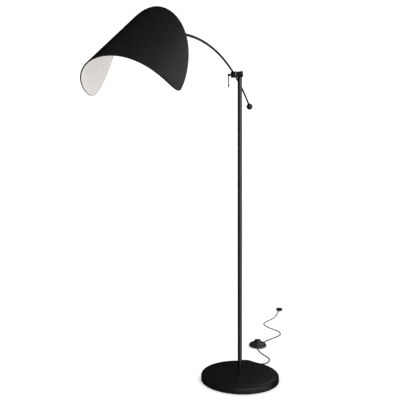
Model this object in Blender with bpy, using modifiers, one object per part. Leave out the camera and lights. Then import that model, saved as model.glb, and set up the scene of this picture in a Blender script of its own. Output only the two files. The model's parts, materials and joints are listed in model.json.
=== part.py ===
"""Adjustable arm floor lamp: a bent sheet shade on a curved arm that pivots and slides in a clamp head.

Metres, +Z up. The origin is the centre of the base's underside, on the pole's axis. The arm reaches
towards -X, its tail towards +X, and the pivot of the arm lies along Y.
Blender 4.5:  blender --background --python part.py
"""

import math

import bmesh
import bpy
import numpy as np
from mathutils import Matrix, Vector

MM = 0.001
GAP = 0.3 * MM                      # clearance between pieces that touch

# ---- driving dimensions -------------------------------------------------------------------------
BASE_RADIUS = 140 * MM
BASE_HEIGHT = 24.8 * MM
BASE_ROUND = (13.3 * MM, 9.8 * MM)  # radial and vertical reach of the rounded top edge
COVER_WALL = 1.5 * MM
COVER_HEM = 1.0 * MM                # the cover stops this far above the floor
PAD_THICKNESS = 2.0 * MM
PAD_RADIUS = 131 * MM
WEIGHT_RADIUS = 132.5 * MM

POLE_RADIUS = 8 * MM
POLE_WALL = 1.2 * MM
POLE_TOP = 1092.2 * MM

BARREL_Z = 1104.8 * MM              # axis of the arm's pivot
BARREL_RADIUS = 10 * MM
BARREL_SPAN = (-4.2 * MM, 12.8 * MM)
HUB_RADIUS = 11.2 * MM
HUB_SPAN = (13.1 * MM, 32.0 * MM)
SHAFT_RADIUS = 5 * MM

ARM_Y = 21.8 * MM                   # the arm and the shade lie in this plane, beside the pole
ARM_RADIUS = 3.35 * MM
ARM_WALL = 0.9 * MM
ARM_CENTRE = Vector((-150 * MM, ARM_Y, -578 * MM))
ARM_CURVE = 1693 * MM               # radius of the arm's arc
ARM_FRONT = math.radians(21.5)      # end of the arm at the shade, measured from straight above ARM_CENTRE
ARM_TAIL = math.radians(-16.15)     # end of the arm inside the ball
BALL_RADIUS = 13 * MM

SHADE_SLOPE = math.radians(36.77)   # the ridge falls this much towards the front
SHADE_RIDGE = Vector((-942.7 * MM, ARM_Y, 934.1 * MM))   # point of the ridge level with the flaps' tips
SHADE_WALL = 2.4 * MM
SHADE_HALF_GIRTH = 150.8 * MM       # along the sheet, from the ridge to a tip
SHADE_FLARE = math.radians(85.9)    # how far the sheet has turned down at the tips
SHADE_CURL = 1.363                  # more than 1 bends the crown harder than the flaps
SHADE_FRONT = (79.9 * MM, 1.740, 1.578)    # reach of the front rim, and its two outline exponents
SHADE_BACK = (-192.1 * MM, 1.600, 1.841)

CORD_RADIUS = 2.3 * MM
CORD_EXIT_ANGLE = math.radians(11.3)       # where the cord leaves the base, from +X
CORD_EXIT_Z = 6.2 * MM
SWITCH_AT = Vector((406.5 * MM, 0.8 * MM, 0))
SWITCH_OUT_ANGLE = math.radians(-16)       # where the cord leaves the foot switch, from +X
SWITCH_IN_ANGLE = math.radians(190)        # and where it comes in from the base
SWITCH_RADIUS = 38.3 * MM
PLUG_AT = Vector((1112 * MM, -8.5 * MM, 0))

# Routes of the two stretches of cord on the floor, as (x, y).
ROUTE_TO_SWITCH = [
    (0.1665, 0.0336), (0.1745, 0.0349), (0.1828, 0.0352), (0.1930, 0.0323), (0.2004, 0.0250),
    (0.2031, 0.0150), (0.2018, 0.0035), (0.1965, -0.0075), (0.1880, -0.0200), (0.1800, -0.0320),
    (0.1758, -0.0440), (0.1785, -0.0558), (0.1880, -0.0655), (0.2005, -0.0722), (0.2134, -0.0752),
    (0.2261, -0.0758),
    (0.2384, -0.0745), (0.2503, -0.0711), (0.2617, -0.0654), (0.2728, -0.0581), (0.2837, -0.0494),
    (0.2947, -0.0406), (0.3061, -0.0324), (0.3180, -0.0253), (0.3303, -0.0192), (0.3435, -0.0136),
]
ROUTE_TO_PLUG = [
    (0.4680, -0.0164), (0.4790, -0.0188), (0.4871, -0.0218), (0.5010, -0.0276), (0.5168, -0.0361),
    (0.5396, -0.0462), (0.5591, -0.0555), (0.5786, -0.0638), (0.5981, -0.0705), (0.6168, -0.0738),
    (0.6347, -0.0732), (0.6518, -0.0688), (0.6681, -0.0605), (0.6837, -0.0488), (0.6988, -0.0346),
    (0.7139, -0.0191), (0.7291, -0.0035), (0.7456, 0.0096), (0.7629, 0.0209), (0.7815, 0.0283),
    (0.8017, 0.0318), (0.8237, 0.0298), (0.8471, 0.0242), (0.8716, 0.0164), (0.8965, 0.0085),
    (0.9212, 0.0020), (0.9458, -0.0025), (0.9702, -0.0052), (0.9949, -0.0068), (1.0196, -0.0077),
    (1.0448, -0.0082), (1.0650, -0.0084), (1.0810, -0.0085),
]

# ---- materials: colour, metallic, roughness -----------------------------------------------------
FINISHES = {
    "black_powder_coat": ((0.012, 0.012, 0.012), 0.0, 0.45),
    "black_steel": ((0.020, 0.020, 0.020), 0.0, 0.35),
    "cast_iron": ((0.09, 0.09, 0.09), 0.8, 0.7),
    "zinc_steel": ((0.55, 0.55, 0.54), 1.0, 0.35),
    "brass": ((0.72, 0.55, 0.27), 1.0, 0.3),
    "black_plastic": ((0.018, 0.018, 0.018), 0.0, 0.4),
    "white_plastic": ((0.80, 0.80, 0.78), 0.0, 0.4),
    "rubber": ((0.025, 0.025, 0.025), 0.0, 0.8),
    "cord_sheath": ((0.020, 0.020, 0.020), 0.0, 0.5),
    "shade_sheet": ((0.014, 0.014, 0.014), 0.0, 0.5),
    "opal_bulb": ((0.90, 0.90, 0.88), 0.0, 0.25),
}


# ---- tools --------------------------------------------------------------------------------------
def clear_scene():
    for obj in list(bpy.data.objects):
        bpy.data.objects.remove(obj)


def new_collection(name):
    collection = bpy.data.collections.new(name)
    bpy.context.scene.collection.children.link(collection)
    return collection


def make_material(name):
    colour, metallic, roughness = FINISHES[name]
    material = bpy.data.materials.new(name)
    material.use_nodes = True
    shader = material.node_tree.nodes["Principled BSDF"]
    shader.inputs["Base Color"].default_value = (*colour, 1)
    shader.inputs["Metallic"].default_value = metallic
    shader.inputs["Roughness"].default_value = roughness
    return material


def pointing(at, direction):
    """A placement whose local +Z runs along direction."""
    return Matrix.Translation(at) @ Vector(direction).to_track_quat("Z", "Y").to_matrix().to_4x4()


def place(obj, matrix, holder=None):
    """Puts an object at a world placement, under a holder that it moves with."""
    obj.matrix_basis = matrix
    if holder is not None:
        obj.parent = holder
        obj.matrix_parent_inverse = holder.matrix_basis.inverted()


def make_holder(name, at, holder=None):
    """An empty on a joint's axis."""
    empty = bpy.data.objects.new(name, None)
    PARTS.objects.link(empty)
    place(empty, Matrix.Translation(at), holder)
    return empty


def smooth(mesh, degrees=35):
    mesh.shade_smooth()
    mesh.set_sharp_from_angle(angle=math.radians(degrees))


def add_part(name, data, finish, matrix, holder=None):
    obj = bpy.data.objects.new(name, data)
    PARTS.objects.link(obj)
    data.materials.append(bpy.data.materials.get(finish) or make_material(finish))
    place(obj, matrix, holder)
    return obj


def add_cutter(name, mesh, matrix):
    obj = bpy.data.objects.new(name, mesh)
    CUTTERS.objects.link(obj)
    obj.hide_render = True
    obj.display_type = "WIRE"
    obj.matrix_basis = matrix
    return obj


def boolean(obj, other, operation="DIFFERENCE"):
    modifier = obj.modifiers.new(operation.title(), "BOOLEAN")
    modifier.operation = operation
    modifier.solver = "EXACT"
    modifier.object = other


def mesh_from(name, build):
    """A mesh filled by build(bm)."""
    mesh = bpy.data.meshes.new(name)
    bm = bmesh.new()
    build(bm)
    bm.to_mesh(mesh)
    bm.free()
    return mesh


def rod_mesh(name, radius, low, high, sides=24, top_radius=None):
    """A solid rod along local Z from low to high."""
    def build(bm):
        bmesh.ops.create_cone(
            bm, cap_ends=True, segments=sides, radius1=radius,
            radius2=radius if top_radius is None else top_radius, depth=high - low,
            matrix=Matrix.Translation((0, 0, (low + high) / 2)))
    mesh = mesh_from(name, build)
    smooth(mesh)
    return mesh


def block_mesh(name, low, high):
    """A box between two opposite corners."""
    low, high = Vector(low), Vector(high)

    def build(bm):
        bmesh.ops.create_cube(
            bm, size=1, matrix=Matrix.Translation((low + high) / 2) @ Matrix.Diagonal((*(high - low), 1)))
    return mesh_from(name, build)


def drill(obj, radius, low, high, matrix, sides=24):
    """Cuts a round hole along the local Z of matrix."""
    name = f"cut_{obj.name}_{len(CUTTERS.objects)}"
    boolean(obj, add_cutter(name, rod_mesh(name, radius, low, high, sides), matrix))


def turned(name, profile, finish, matrix, holder=None, steps=32, hollow=False):
    """A turned piece about local Z. The profile of (radius, height) runs down its outer side."""
    mesh = bpy.data.meshes.new(name)
    edges = [(i, i + 1) for i in range(len(profile) - 1)]
    if hollow:
        edges.append((len(profile) - 1, 0))
    mesh.from_pydata([(radius, 0, height) for radius, height in profile], edges, [])
    obj = add_part(name, mesh, finish, matrix, holder)
    screw = obj.modifiers.new("Turn", "SCREW")
    screw.steps = screw.render_steps = steps
    screw.use_merge_vertices = True
    screw.merge_threshold = 0.00001
    screw.use_smooth_shade = True
    return obj


def ring(name, outer, inner, low, high, finish, matrix, holder=None, steps=32):
    """A tube or washer along local Z."""
    profile = [(outer, high), (outer, low), (inner, low), (inner, high)]
    return turned(name, profile, finish, matrix, holder, steps, hollow=True)


def add_bevel(obj, width, segments=2):
    bevel = obj.modifiers.new("Bevel", "BEVEL")
    bevel.width = width
    bevel.segments = segments
    bevel.limit_method = "ANGLE"
    return bevel


def hex_nut(name, flats, bore, low, high, finish, matrix, holder=None):
    mesh = rod_mesh(name, flats / math.sqrt(3), low, high, sides=6)
    obj = add_part(name, mesh, finish, matrix, holder)
    drill(obj, bore, low - MM, high + MM, matrix, 16)
    return obj


def wire_curve(name, points, radius, resolution):
    """A round wire with filled ends through the points."""
    curve = bpy.data.curves.new(name, "CURVE")
    curve.dimensions = "3D"
    curve.bevel_depth = radius
    curve.bevel_resolution = resolution
    curve.use_fill_caps = True
    spline = curve.splines.new("POLY")
    spline.points.add(len(points) - 1)
    for point, co in zip(spline.points, points):
        point.co = (*co, 1)
    return curve


def between(a, b, t, start, end):
    """The point at t on the line through a at start and b at end."""
    return ((end - t) * a + (t - start) * b) / (end - start)


def smooth_path(points, count):
    """Evenly spaced points on a smooth curve (centripetal Catmull-Rom) through the given ones."""
    points = np.array(points, float)
    chain = np.vstack([2 * points[0] - points[1], points, 2 * points[-1] - points[-2]])
    fine = []
    for p0, p1, p2, p3 in zip(chain, chain[1:], chain[2:], chain[3:]):
        t0 = 0
        t1 = t0 + math.sqrt(np.linalg.norm(p1 - p0))
        t2 = t1 + math.sqrt(np.linalg.norm(p2 - p1))
        t3 = t2 + math.sqrt(np.linalg.norm(p3 - p2))
        for t in np.linspace(t1, t2, 12, endpoint=False):
            a, b, c = between(p0, p1, t, t0, t1), between(p1, p2, t, t1, t2), between(p2, p3, t, t2, t3)
            fine.append(between(between(a, b, t, t0, t2), between(b, c, t, t1, t3), t, t1, t2))
    fine = np.array([*fine, points[-1]])
    reach = np.concatenate([[0], np.cumsum(np.linalg.norm(np.diff(fine, axis=0), axis=1))])
    wanted = np.linspace(0, reach[-1], count)
    return np.stack([np.interp(wanted, reach, fine[:, k]) for k in range(3)], axis=1)


# ---- places -------------------------------------------------------------------------------------
UPRIGHT = Matrix.Identity(4)
EXIT_DIRECTION = Vector((math.cos(CORD_EXIT_ANGLE), math.sin(CORD_EXIT_ANGLE), 0))
EXIT_FRAME = pointing((0, 0, CORD_EXIT_Z), EXIT_DIRECTION)
BARREL_FRAME = pointing((0, 0, BARREL_Z), (0, 1, 0))          # local +Z is world +Y
SWITCH_FRAME = Matrix.Translation(SWITCH_AT)


def on_arm(angle):
    """The point of the arm's arc at this angle from straight above its centre, towards the shade."""
    return ARM_CENTRE + ARM_CURVE * Vector((-math.sin(angle), 0, math.cos(angle)))


def arm_direction(angle):
    """The arm's direction there, towards the shade."""
    return Vector((-math.cos(angle), 0, -math.sin(angle)))


def frame_along(at, direction):
    """A placement with local +X along direction, +Z above it in the arm's plane, and +Y towards -Y."""
    forward = Vector(direction).normalized()
    side = Vector((0, -1, 0))
    up = forward.cross(side)
    rotation = Matrix((forward, side, up)).transposed().to_4x4()
    return Matrix.Translation(at) @ rotation


SHADE_FORWARD = Vector((-math.cos(SHADE_SLOPE), 0, -math.sin(SHADE_SLOPE)))
SHADE_FRAME = frame_along(SHADE_RIDGE, SHADE_FORWARD)         # +X runs down the ridge to the front
ALONG_X = Matrix.Rotation(math.radians(90), 4, "Y")           # turns a local Z axis into +X
ALONG_Y = Matrix.Rotation(math.radians(-90), 4, "X")          # turns a local Z axis into +Y

HUB_ANGLE = math.asin(ARM_CENTRE.x / ARM_CURVE)               # where the arm passes the pivot
KNUCKLE_REACH = 13 * MM                                       # from the arm's end to the shade's pivot
KNUCKLE_AT = on_arm(ARM_FRONT) + KNUCKLE_REACH * arm_direction(ARM_FRONT)
KNUCKLE_FRAME = frame_along(KNUCKLE_AT, arm_direction(ARM_FRONT))
LAMP_FRAME = frame_along(KNUCKLE_AT, SHADE_FORWARD)           # the lampholder's axis is its +X


# ---- base ---------------------------------------------------------------------------------------
STUD_RADIUS = 5 * MM
STUD_BORE = 3.8 * MM
NUT_POCKET = (12.5 * MM, 16.5 * MM)                           # radius and ceiling of the nut's pocket
CHANNEL = (9 * MM, 10.3 * MM)                                 # width and ceiling of the cord's channel


def rounded_rim(radius, top, inset, steps=5):
    """Points down the rounded edge of the base cover, from the flat top to the upright wall."""
    reach, drop = BASE_ROUND[0] - inset, BASE_ROUND[1] - inset
    return [(radius - reach + reach * math.sin(a), top - drop + drop * math.cos(a))
            for a in (math.pi / 2 * i / steps for i in range(steps + 1))]


def make_base():
    bore = STUD_RADIUS + GAP
    turned("base_pad", [(0, PAD_THICKNESS), (PAD_RADIUS, PAD_THICKNESS), (PAD_RADIUS, 0), (0, 0)],
           "rubber", UPRIGHT, steps=48)

    top = BASE_HEIGHT - COVER_WALL
    outer = rounded_rim(BASE_RADIUS, BASE_HEIGHT, 0)
    inner = rounded_rim(BASE_RADIUS - COVER_WALL, top, COVER_WALL / 2)
    profile = [(bore, BASE_HEIGHT), *outer, (BASE_RADIUS, COVER_HEM),
               (BASE_RADIUS - COVER_WALL, COVER_HEM), *reversed(inner), (bore, top)]
    cover = turned("base_cover", profile, "black_powder_coat", UPRIGHT, steps=60, hollow=True)
    drill(cover, 4.0 * MM, BASE_RADIUS - 6 * MM, BASE_RADIUS + 4 * MM, EXIT_FRAME)

    low, high, chamfer = PAD_THICKNESS + GAP, top - GAP, 5 * MM
    profile = [(bore, high), (WEIGHT_RADIUS - chamfer, high), (WEIGHT_RADIUS, high - chamfer),
               (WEIGHT_RADIUS, low), (bore, low)]
    weight = turned("base_weight", profile, "cast_iron", UPRIGHT, steps=48, hollow=True)
    drill(weight, NUT_POCKET[0], low - MM, NUT_POCKET[1], UPRIGHT)
    name = "cut_weight_channel"
    channel = block_mesh(name, (0, -CHANNEL[0] / 2, low - MM), (WEIGHT_RADIUS + MM, CHANNEL[0] / 2, CHANNEL[1]))
    boolean(weight, add_cutter(name, channel, Matrix.Rotation(CORD_EXIT_ANGLE, 4, "Z")))

    # The foot screws into the pole's end, and its hollow stud is drawn down by a nut in the pocket.
    plug, foot_low = POLE_RADIUS - POLE_WALL - GAP, BASE_HEIGHT + GAP
    turned("pole_foot",
           [(plug, 50 * MM), (plug, foot_low), (STUD_RADIUS, foot_low), (STUD_RADIUS, 9 * MM),
            (STUD_BORE, 9 * MM), (STUD_BORE, 50 * MM)],
           "zinc_steel", UPRIGHT, steps=24, hollow=True)
    washer_low = NUT_POCKET[1] - GAP - 1.6 * MM
    ring("foot_washer", 11 * MM, bore, washer_low, NUT_POCKET[1] - GAP, "zinc_steel", UPRIGHT)
    hex_nut("foot_nut", 17 * MM, bore, washer_low - GAP - 5 * MM, washer_low - GAP, "zinc_steel", UPRIGHT)


BASE_BUSH_REACH = 22 * MM                                     # how far it stands out of the base's wall


def make_base_cord_entry():
    """The strain relief in the base's wall, and how the cord is held and split in the weight's channel."""
    reach, inner = BASE_BUSH_REACH / MM, -3.4
    profile = [(2.6, reach), (3.0, reach), (3.2, reach - 2), (3.9, 4), (4.6, 2.6), (4.6, GAP / MM),
               (3.7, GAP / MM), (3.7, -1.9), (4.4, -1.9), (4.4, inner), (2.6, inner)]
    turned("base_bush", [(radius * MM, height * MM) for radius, height in profile], "rubber",
           EXIT_FRAME @ Matrix.Translation((0, 0, BASE_RADIUS)), hollow=True, steps=16)

    tail = (88 * MM, BASE_RADIUS + inner * MM - GAP)
    add_part("cord_tail", rod_mesh("cord_tail", CORD_RADIUS, *tail, sides=12), "cord_sheath", EXIT_FRAME)

    # A clip in the channel grips the cord's sheath, so that a pull on it doesn't reach the cores.
    clip_at = EXIT_DIRECTION * 110 * MM
    frame = Matrix.Translation(clip_at) @ Matrix.Rotation(CORD_EXIT_ANGLE, 4, "Z")
    name = "cord_grip"
    grip = add_part(name, block_mesh(name, (-4 * MM, -4.2 * MM, 2.6 * MM), (4 * MM, 4.2 * MM, 5.2 * MM)),
                    "zinc_steel", frame)
    add_bevel(grip, 0.4 * MM, 1)
    drill(grip, CORD_RADIUS + GAP, -9 * MM, 9 * MM, pointing(clip_at + Vector((0, 0, CORD_EXIT_Z)),
                                                            EXIT_DIRECTION), 16)

    # The two cores leave the sheath, turn up through the hollow stud and climb the pole to the head.
    bend, level = 6 * MM, 5.0 * MM
    route = [EXIT_DIRECTION * reach * MM + Vector((0, 0, level)) for reach in (87.7, 60, 30, 12)]
    route += [EXIT_DIRECTION * bend * (1 - math.sin(a)) + Vector((0, 0, level + bend * (1 - math.cos(a))))
              for a in (math.pi / 2 * i / 8 for i in range(9))]
    route += [Vector((0, 0, height)) for height in (30 * MM, 500 * MM, POLE_TOP + 2 * MM)]
    add_part("pole_wires", wire_curve("pole_wires", route, 1.5 * MM, 2), "white_plastic", UPRIGHT)


# ---- pole and head ------------------------------------------------------------------------------
STEM_LOW = 1052 * MM
GRUB_Z = 1075 * MM


def make_pole():
    pole = ring("pole_tube", POLE_RADIUS, POLE_RADIUS - POLE_WALL, BASE_HEIGHT + GAP, POLE_TOP,
                "black_steel", UPRIGHT)
    grub = pointing((0, 0, GRUB_Z), (1, 0, 0))
    drill(pole, 2.3 * MM, 4 * MM, 12 * MM, grub, 16)
    screw = add_part("swivel_grub_screw", rod_mesh("swivel_grub_screw", 2 * MM, 5.8 * MM, 7.9 * MM, 16),
                     "zinc_steel", grub)
    drill(screw, 1.1 * MM, 6.9 * MM, 9 * MM, grub, 6)


def make_head(swivel):
    """The tee that turns on the pole: a stem with a groove for the grub screw, and the pivot's barrel."""
    stem, groove = POLE_RADIUS - POLE_WALL - GAP, 5.5 * MM
    collar, neck = POLE_TOP + GAP, 4.1 * MM
    profile = [(0, BARREL_Z), (neck, BARREL_Z), (neck, collar + MM), (POLE_RADIUS, collar + MM),
               (POLE_RADIUS, collar), (stem, collar),
               (stem, GRUB_Z + 2.5 * MM), (groove, GRUB_Z + 2.5 * MM), (groove, GRUB_Z - 2.5 * MM),
               (stem, GRUB_Z - 2.5 * MM), (stem, STEM_LOW), (0, STEM_LOW)]
    tee = turned("head_tee", profile, "black_powder_coat", UPRIGHT, swivel)
    low, high = BARREL_SPAN
    name = "join_tee_barrel"
    boolean(tee, add_cutter(name, rod_mesh(name, BARREL_RADIUS, low, high, 32), BARREL_FRAME), "UNION")
    drill(tee, SHAFT_RADIUS + GAP, low - 5 * MM, high + 5 * MM, BARREL_FRAME)
    drill(tee, 2.2 * MM, STEM_LOW - MM, BARREL_Z, UPRIGHT, 16)


def make_hub(tilt):
    """The hub that holds the arm, its shaft through the barrel, and the cap that keeps it there."""
    low, high = HUB_SPAN
    edge, thread = 1.2 * MM, 1.6 * MM
    shaft_end = BARREL_SPAN[0] - GAP
    washer = 0.6 * MM
    face = low + washer + GAP
    profile = [(0, high), (HUB_RADIUS - edge, high), (HUB_RADIUS, high - edge), (HUB_RADIUS, face + edge),
               (HUB_RADIUS - edge, face), (SHAFT_RADIUS, face), (SHAFT_RADIUS, shaft_end), (0, shaft_end)]
    hub = turned("arm_hub", profile, "black_powder_coat", BARREL_FRAME, tilt)
    arm_line = pointing(on_arm(HUB_ANGLE), arm_direction(HUB_ANGLE))
    drill(hub, ARM_RADIUS + GAP, -20 * MM, 20 * MM, arm_line)
    drill(hub, 3.5 * MM + GAP, ARM_Y, high + 2 * MM, BARREL_FRAME)
    drill(hub, thread + GAP, shaft_end - MM, 7 * MM, BARREL_FRAME, 16)
    ring("hub_washer", 9.6 * MM, SHAFT_RADIUS + GAP, low, low + washer, "white_plastic", BARREL_FRAME, tilt)

    cap_high, cap_low, cap = shaft_end - GAP, -11 * MM, 11 * MM
    profile = [(cap, cap_high), (cap, cap_low + edge), (cap - edge, cap_low), (4.2 * MM, cap_low),
               (1.9 * MM, cap_low + 2.3 * MM), (1.9 * MM, cap_high)]
    turned("barrel_end_cap", profile, "black_powder_coat", BARREL_FRAME, tilt, hollow=True)
    head = cap_low + 0.2 * MM
    profile = [(0, 5.5 * MM), (thread, 5.5 * MM), (thread, head + 2 * MM), (3.8 * MM, head), (0, head)]
    screw = turned("end_cap_screw", profile, "black_steel", BARREL_FRAME, tilt, steps=16)
    drill(screw, 1.5 * MM, cap_low - MM, cap_low + 1.6 * MM, BARREL_FRAME, 6)


def make_clamp(clamp):
    """The screw that presses on the arm from the hub's open face, with its lever and the lever's tip."""
    stub, thread, lever_y, screw_end, chamfer = 4 * MM, 3.5 * MM, 41.5 * MM, 45 * MM, 0.8 * MM
    face = HUB_SPAN[1] + GAP
    tip = ARM_Y + ARM_RADIUS + GAP
    profile = [(0, screw_end), (stub - chamfer, screw_end), (stub, screw_end - chamfer),
               (stub, face + 0.5 * MM), (thread, face), (thread, tip + chamfer),
               (thread - chamfer, tip), (0, tip)]
    screw = turned("clamp_screw", profile, "black_steel", BARREL_FRAME, clamp, steps=24)
    lever = Matrix.Translation((0, lever_y, BARREL_Z))
    radius, low, high = 2.0 * MM, -39.5 * MM, 2.6 * MM
    drill(screw, radius + GAP, -9 * MM, high + GAP, lever, 16)
    add_part("clamp_lever", rod_mesh("clamp_lever", radius, low, high, 16), "zinc_steel", lever, clamp)
    bore, outer, rim, end = radius + GAP, 2.9 * MM, -37 * MM, -43 * MM
    profile = [(bore, rim), (outer, rim), (outer, end + MM), (outer - MM, end), (0, end),
               (0, low - GAP), (bore, low - GAP)]
    turned("lever_tip", profile, "black_plastic", lever, clamp, steps=16, hollow=True)


# ---- arm ----------------------------------------------------------------------------------------
def arm_points(start, end, count):
    return [on_arm(start + (end - start) * i / (count - 1)) for i in range(count)]


def make_arm(slide):
    curve = wire_curve("arm_path", arm_points(ARM_TAIL, ARM_FRONT, 34), ARM_RADIUS, 3)
    curve.use_fill_caps = False
    path = add_cutter("arm_path", curve, UPRIGHT)
    bpy.context.view_layer.update()
    mesh = bpy.data.meshes.new_from_object(path.evaluated_get(bpy.context.evaluated_depsgraph_get()))
    bpy.data.objects.remove(path)
    mesh.name = "arm_tube"
    mesh.materials.clear()
    smooth(mesh)
    tube = add_part("arm_tube", mesh, "black_steel", UPRIGHT, slide)
    wall = tube.modifiers.new("Wall", "SOLIDIFY")
    wall.thickness = ARM_WALL
    wall.offset = -1
    wall.use_even_offset = True

    wires = arm_points(HUB_ANGLE - math.radians(1), ARM_FRONT - 0.0006, 22)
    add_part("arm_wires", wire_curve("arm_wires", wires, 1.4 * MM, 1), "white_plastic", UPRIGHT, slide)

    name = "arm_ball"
    ball = mesh_from(name, lambda bm: bmesh.ops.create_uvsphere(
        bm, u_segments=24, v_segments=14, radius=BALL_RADIUS))
    smooth(ball, 60)
    at = on_arm(ARM_TAIL)
    frame = pointing(at, arm_direction(ARM_TAIL))
    ball = add_part(name, ball, "black_powder_coat", frame, slide)
    drill(ball, ARM_RADIUS + GAP, -GAP, 20 * MM, frame)


def make_knuckle(slide, lamp):
    """The half-lap joint between arm and lampholder, with its pivot screw and nut."""
    eye, half, bore = 7 * MM, 4.7 * MM, 2.2 * MM
    sleeve = (-KNUCKLE_REACH - 10 * MM, -eye - 0.5 * MM)

    name = "knuckle_arm_half"
    arm_half = add_part(name, rod_mesh(name, 6.5 * MM, *sleeve), "black_powder_coat",
                        KNUCKLE_FRAME @ ALONG_X, slide)
    name = "join_arm_eye"
    boolean(arm_half, add_cutter(name, rod_mesh(name, eye, GAP / 2, half), KNUCKLE_FRAME @ ALONG_Y), "UNION")
    name = "join_arm_neck"
    neck = block_mesh(name, (-9 * MM, GAP / 2, -3.6 * MM), (-2 * MM, half - 0.2 * MM, 3.6 * MM))
    boolean(arm_half, add_cutter(name, neck, KNUCKLE_FRAME), "UNION")
    drill(arm_half, ARM_RADIUS + GAP, sleeve[0] - MM, -KNUCKLE_REACH + GAP, KNUCKLE_FRAME @ ALONG_X)
    drill(arm_half, bore, -9 * MM, 9 * MM, KNUCKLE_FRAME @ ALONG_Y, 16)

    name = "knuckle_lamp_half"
    lamp_half = add_part(name, rod_mesh(name, 5 * MM, 7.5 * MM, 16 * MM), "black_powder_coat",
                         LAMP_FRAME @ ALONG_X, lamp)
    name = "join_lamp_eye"
    boolean(lamp_half, add_cutter(name, rod_mesh(name, eye, -half, -GAP / 2), LAMP_FRAME @ ALONG_Y), "UNION")
    name = "join_lamp_neck"
    neck = block_mesh(name, (2 * MM, -half + 0.2 * MM, -3.6 * MM), (9 * MM, -GAP / 2, 3.6 * MM))
    boolean(lamp_half, add_cutter(name, neck, LAMP_FRAME), "UNION")
    drill(lamp_half, bore, -9 * MM, 9 * MM, LAMP_FRAME @ ALONG_Y, 16)

    head = half + GAP
    profile = [(0, head + 3 * MM), (3.4 * MM, head + 3 * MM), (3.4 * MM, head), (1.9 * MM, head),
               (1.9 * MM, -half - 4.5 * MM), (0, -half - 4.5 * MM)]
    turned("knuckle_screw", profile, "zinc_steel", KNUCKLE_FRAME @ ALONG_Y, slide, steps=16)
    hex_nut("knuckle_nut", 7 * MM, bore, -half - GAP - 3.2 * MM, -half - GAP, "zinc_steel",
            KNUCKLE_FRAME @ ALONG_Y, slide)


# ---- lampholder, bulb and shade -----------------------------------------------------------------
HOLDER = (12 * MM, 33 * MM, 51 * MM)        # rear, shoulder and mouth, along the lamp's axis from its pivot
HOLDER_THREAD = 13.7 * MM
PLATE = 1.5 * MM
GLOBE_RADIUS = 22.5 * MM
GLOBE_AT = 83 * MM


def make_lampholder(lamp):
    rear, shoulder, mouth = HOLDER
    axis = LAMP_FRAME @ ALONG_X
    wall = 2 * MM
    profile = [(7.6 * MM, mouth), (HOLDER_THREAD, mouth), (HOLDER_THREAD, shoulder), (15.5 * MM, shoulder),
               (15.5 * MM, rear + 9 * MM), (11 * MM, rear + 3 * MM), (9 * MM, rear), (5 * MM + GAP, rear),
               (5 * MM + GAP, rear + 6 * MM), (HOLDER_THREAD - wall, rear + 10 * MM),
               (HOLDER_THREAD - wall, mouth - 4 * MM), (7.9 * MM, mouth - 4 * MM)]
    turned("lampholder_body", profile, "black_plastic", axis, lamp, hollow=True)
    ring("holder_contact_shell", 7.3 * MM, 7.0 * MM, 30 * MM, mouth - 2 * MM, "brass", axis, lamp, steps=24)
    ring("shade_ring", 18 * MM, HOLDER_THREAD + GAP, shoulder + PLATE + 2 * GAP, shoulder + PLATE + 6.5 * MM,
         "black_plastic", axis, lamp)

    cap_low, cap_high = 29 * MM, 54 * MM
    screw = 6.6 * MM
    profile = [(0, cap_high), (screw, cap_high), (screw, cap_low + 4 * MM), (3 * MM, cap_low), (0, cap_low)]
    turned("bulb_cap", profile, "zinc_steel", axis, lamp, steps=24)
    neck = 8 * MM
    first = math.asin(neck / GLOBE_RADIUS)
    rim = [(GLOBE_RADIUS * math.sin(a), GLOBE_AT + GLOBE_RADIUS * math.cos(a))
           for a in ((math.pi - first) * i / 11 for i in range(12))]
    rim[0] = (0, GLOBE_AT + GLOBE_RADIUS)
    turned("bulb_globe", [*rim, (neck, cap_high + GAP), (0, cap_high + GAP)], "opal_bulb", axis, lamp, steps=24)


def make_shade_fixing(lamp):
    """A bracket from the lampholder's collar up to two studs under the shade's crown."""
    shoulder = HOLDER[1]
    drop = (SHADE_FRAME.inverted() @ KNUCKLE_AT).z              # the lamp's axis, below the ridge
    start = (SHADE_FRAME.inverted() @ KNUCKLE_AT).x + shoulder + GAP
    top, length, half_width = -SHADE_WALL - 1.3 * MM, 50 * MM, 9 * MM

    name = "shade_bracket"
    disc = rod_mesh(name, 18 * MM, shoulder + GAP, shoulder + GAP + PLATE)
    bracket = add_part(name, disc, "black_powder_coat", LAMP_FRAME @ ALONG_X, lamp)
    name = "join_bracket_leg"
    leg = block_mesh(name, (start, -half_width, drop), (start + PLATE, half_width, top))
    boolean(bracket, add_cutter(name, leg, SHADE_FRAME), "UNION")
    name = "join_bracket_foot"
    foot = block_mesh(name, (start, -half_width, top - PLATE), (start + length, half_width, top))
    boolean(bracket, add_cutter(name, foot, SHADE_FRAME), "UNION")
    drill(bracket, HOLDER_THREAD + GAP, shoulder - 5 * MM, shoulder + 9 * MM, LAMP_FRAME @ ALONG_X)

    for label, reach in (("rear", 15 * MM), ("front", 40 * MM)):
        stud = SHADE_FRAME @ Matrix.Translation((start + reach, 0, 0))
        drill(bracket, 2.3 * MM, -9 * MM, 9 * MM, stud, 16)
        name = f"shade_stud_{label}"
        add_part(name, rod_mesh(name, 2 * MM, -10.5 * MM, -SHADE_WALL - GAP, 16), "zinc_steel", stud, lamp)
        hex_nut(f"shade_nut_{label}", 7 * MM, 2.3 * MM, top - PLATE - GAP - 3.2 * MM, top - PLATE - GAP,
                "zinc_steel", stud, lamp)


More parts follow.
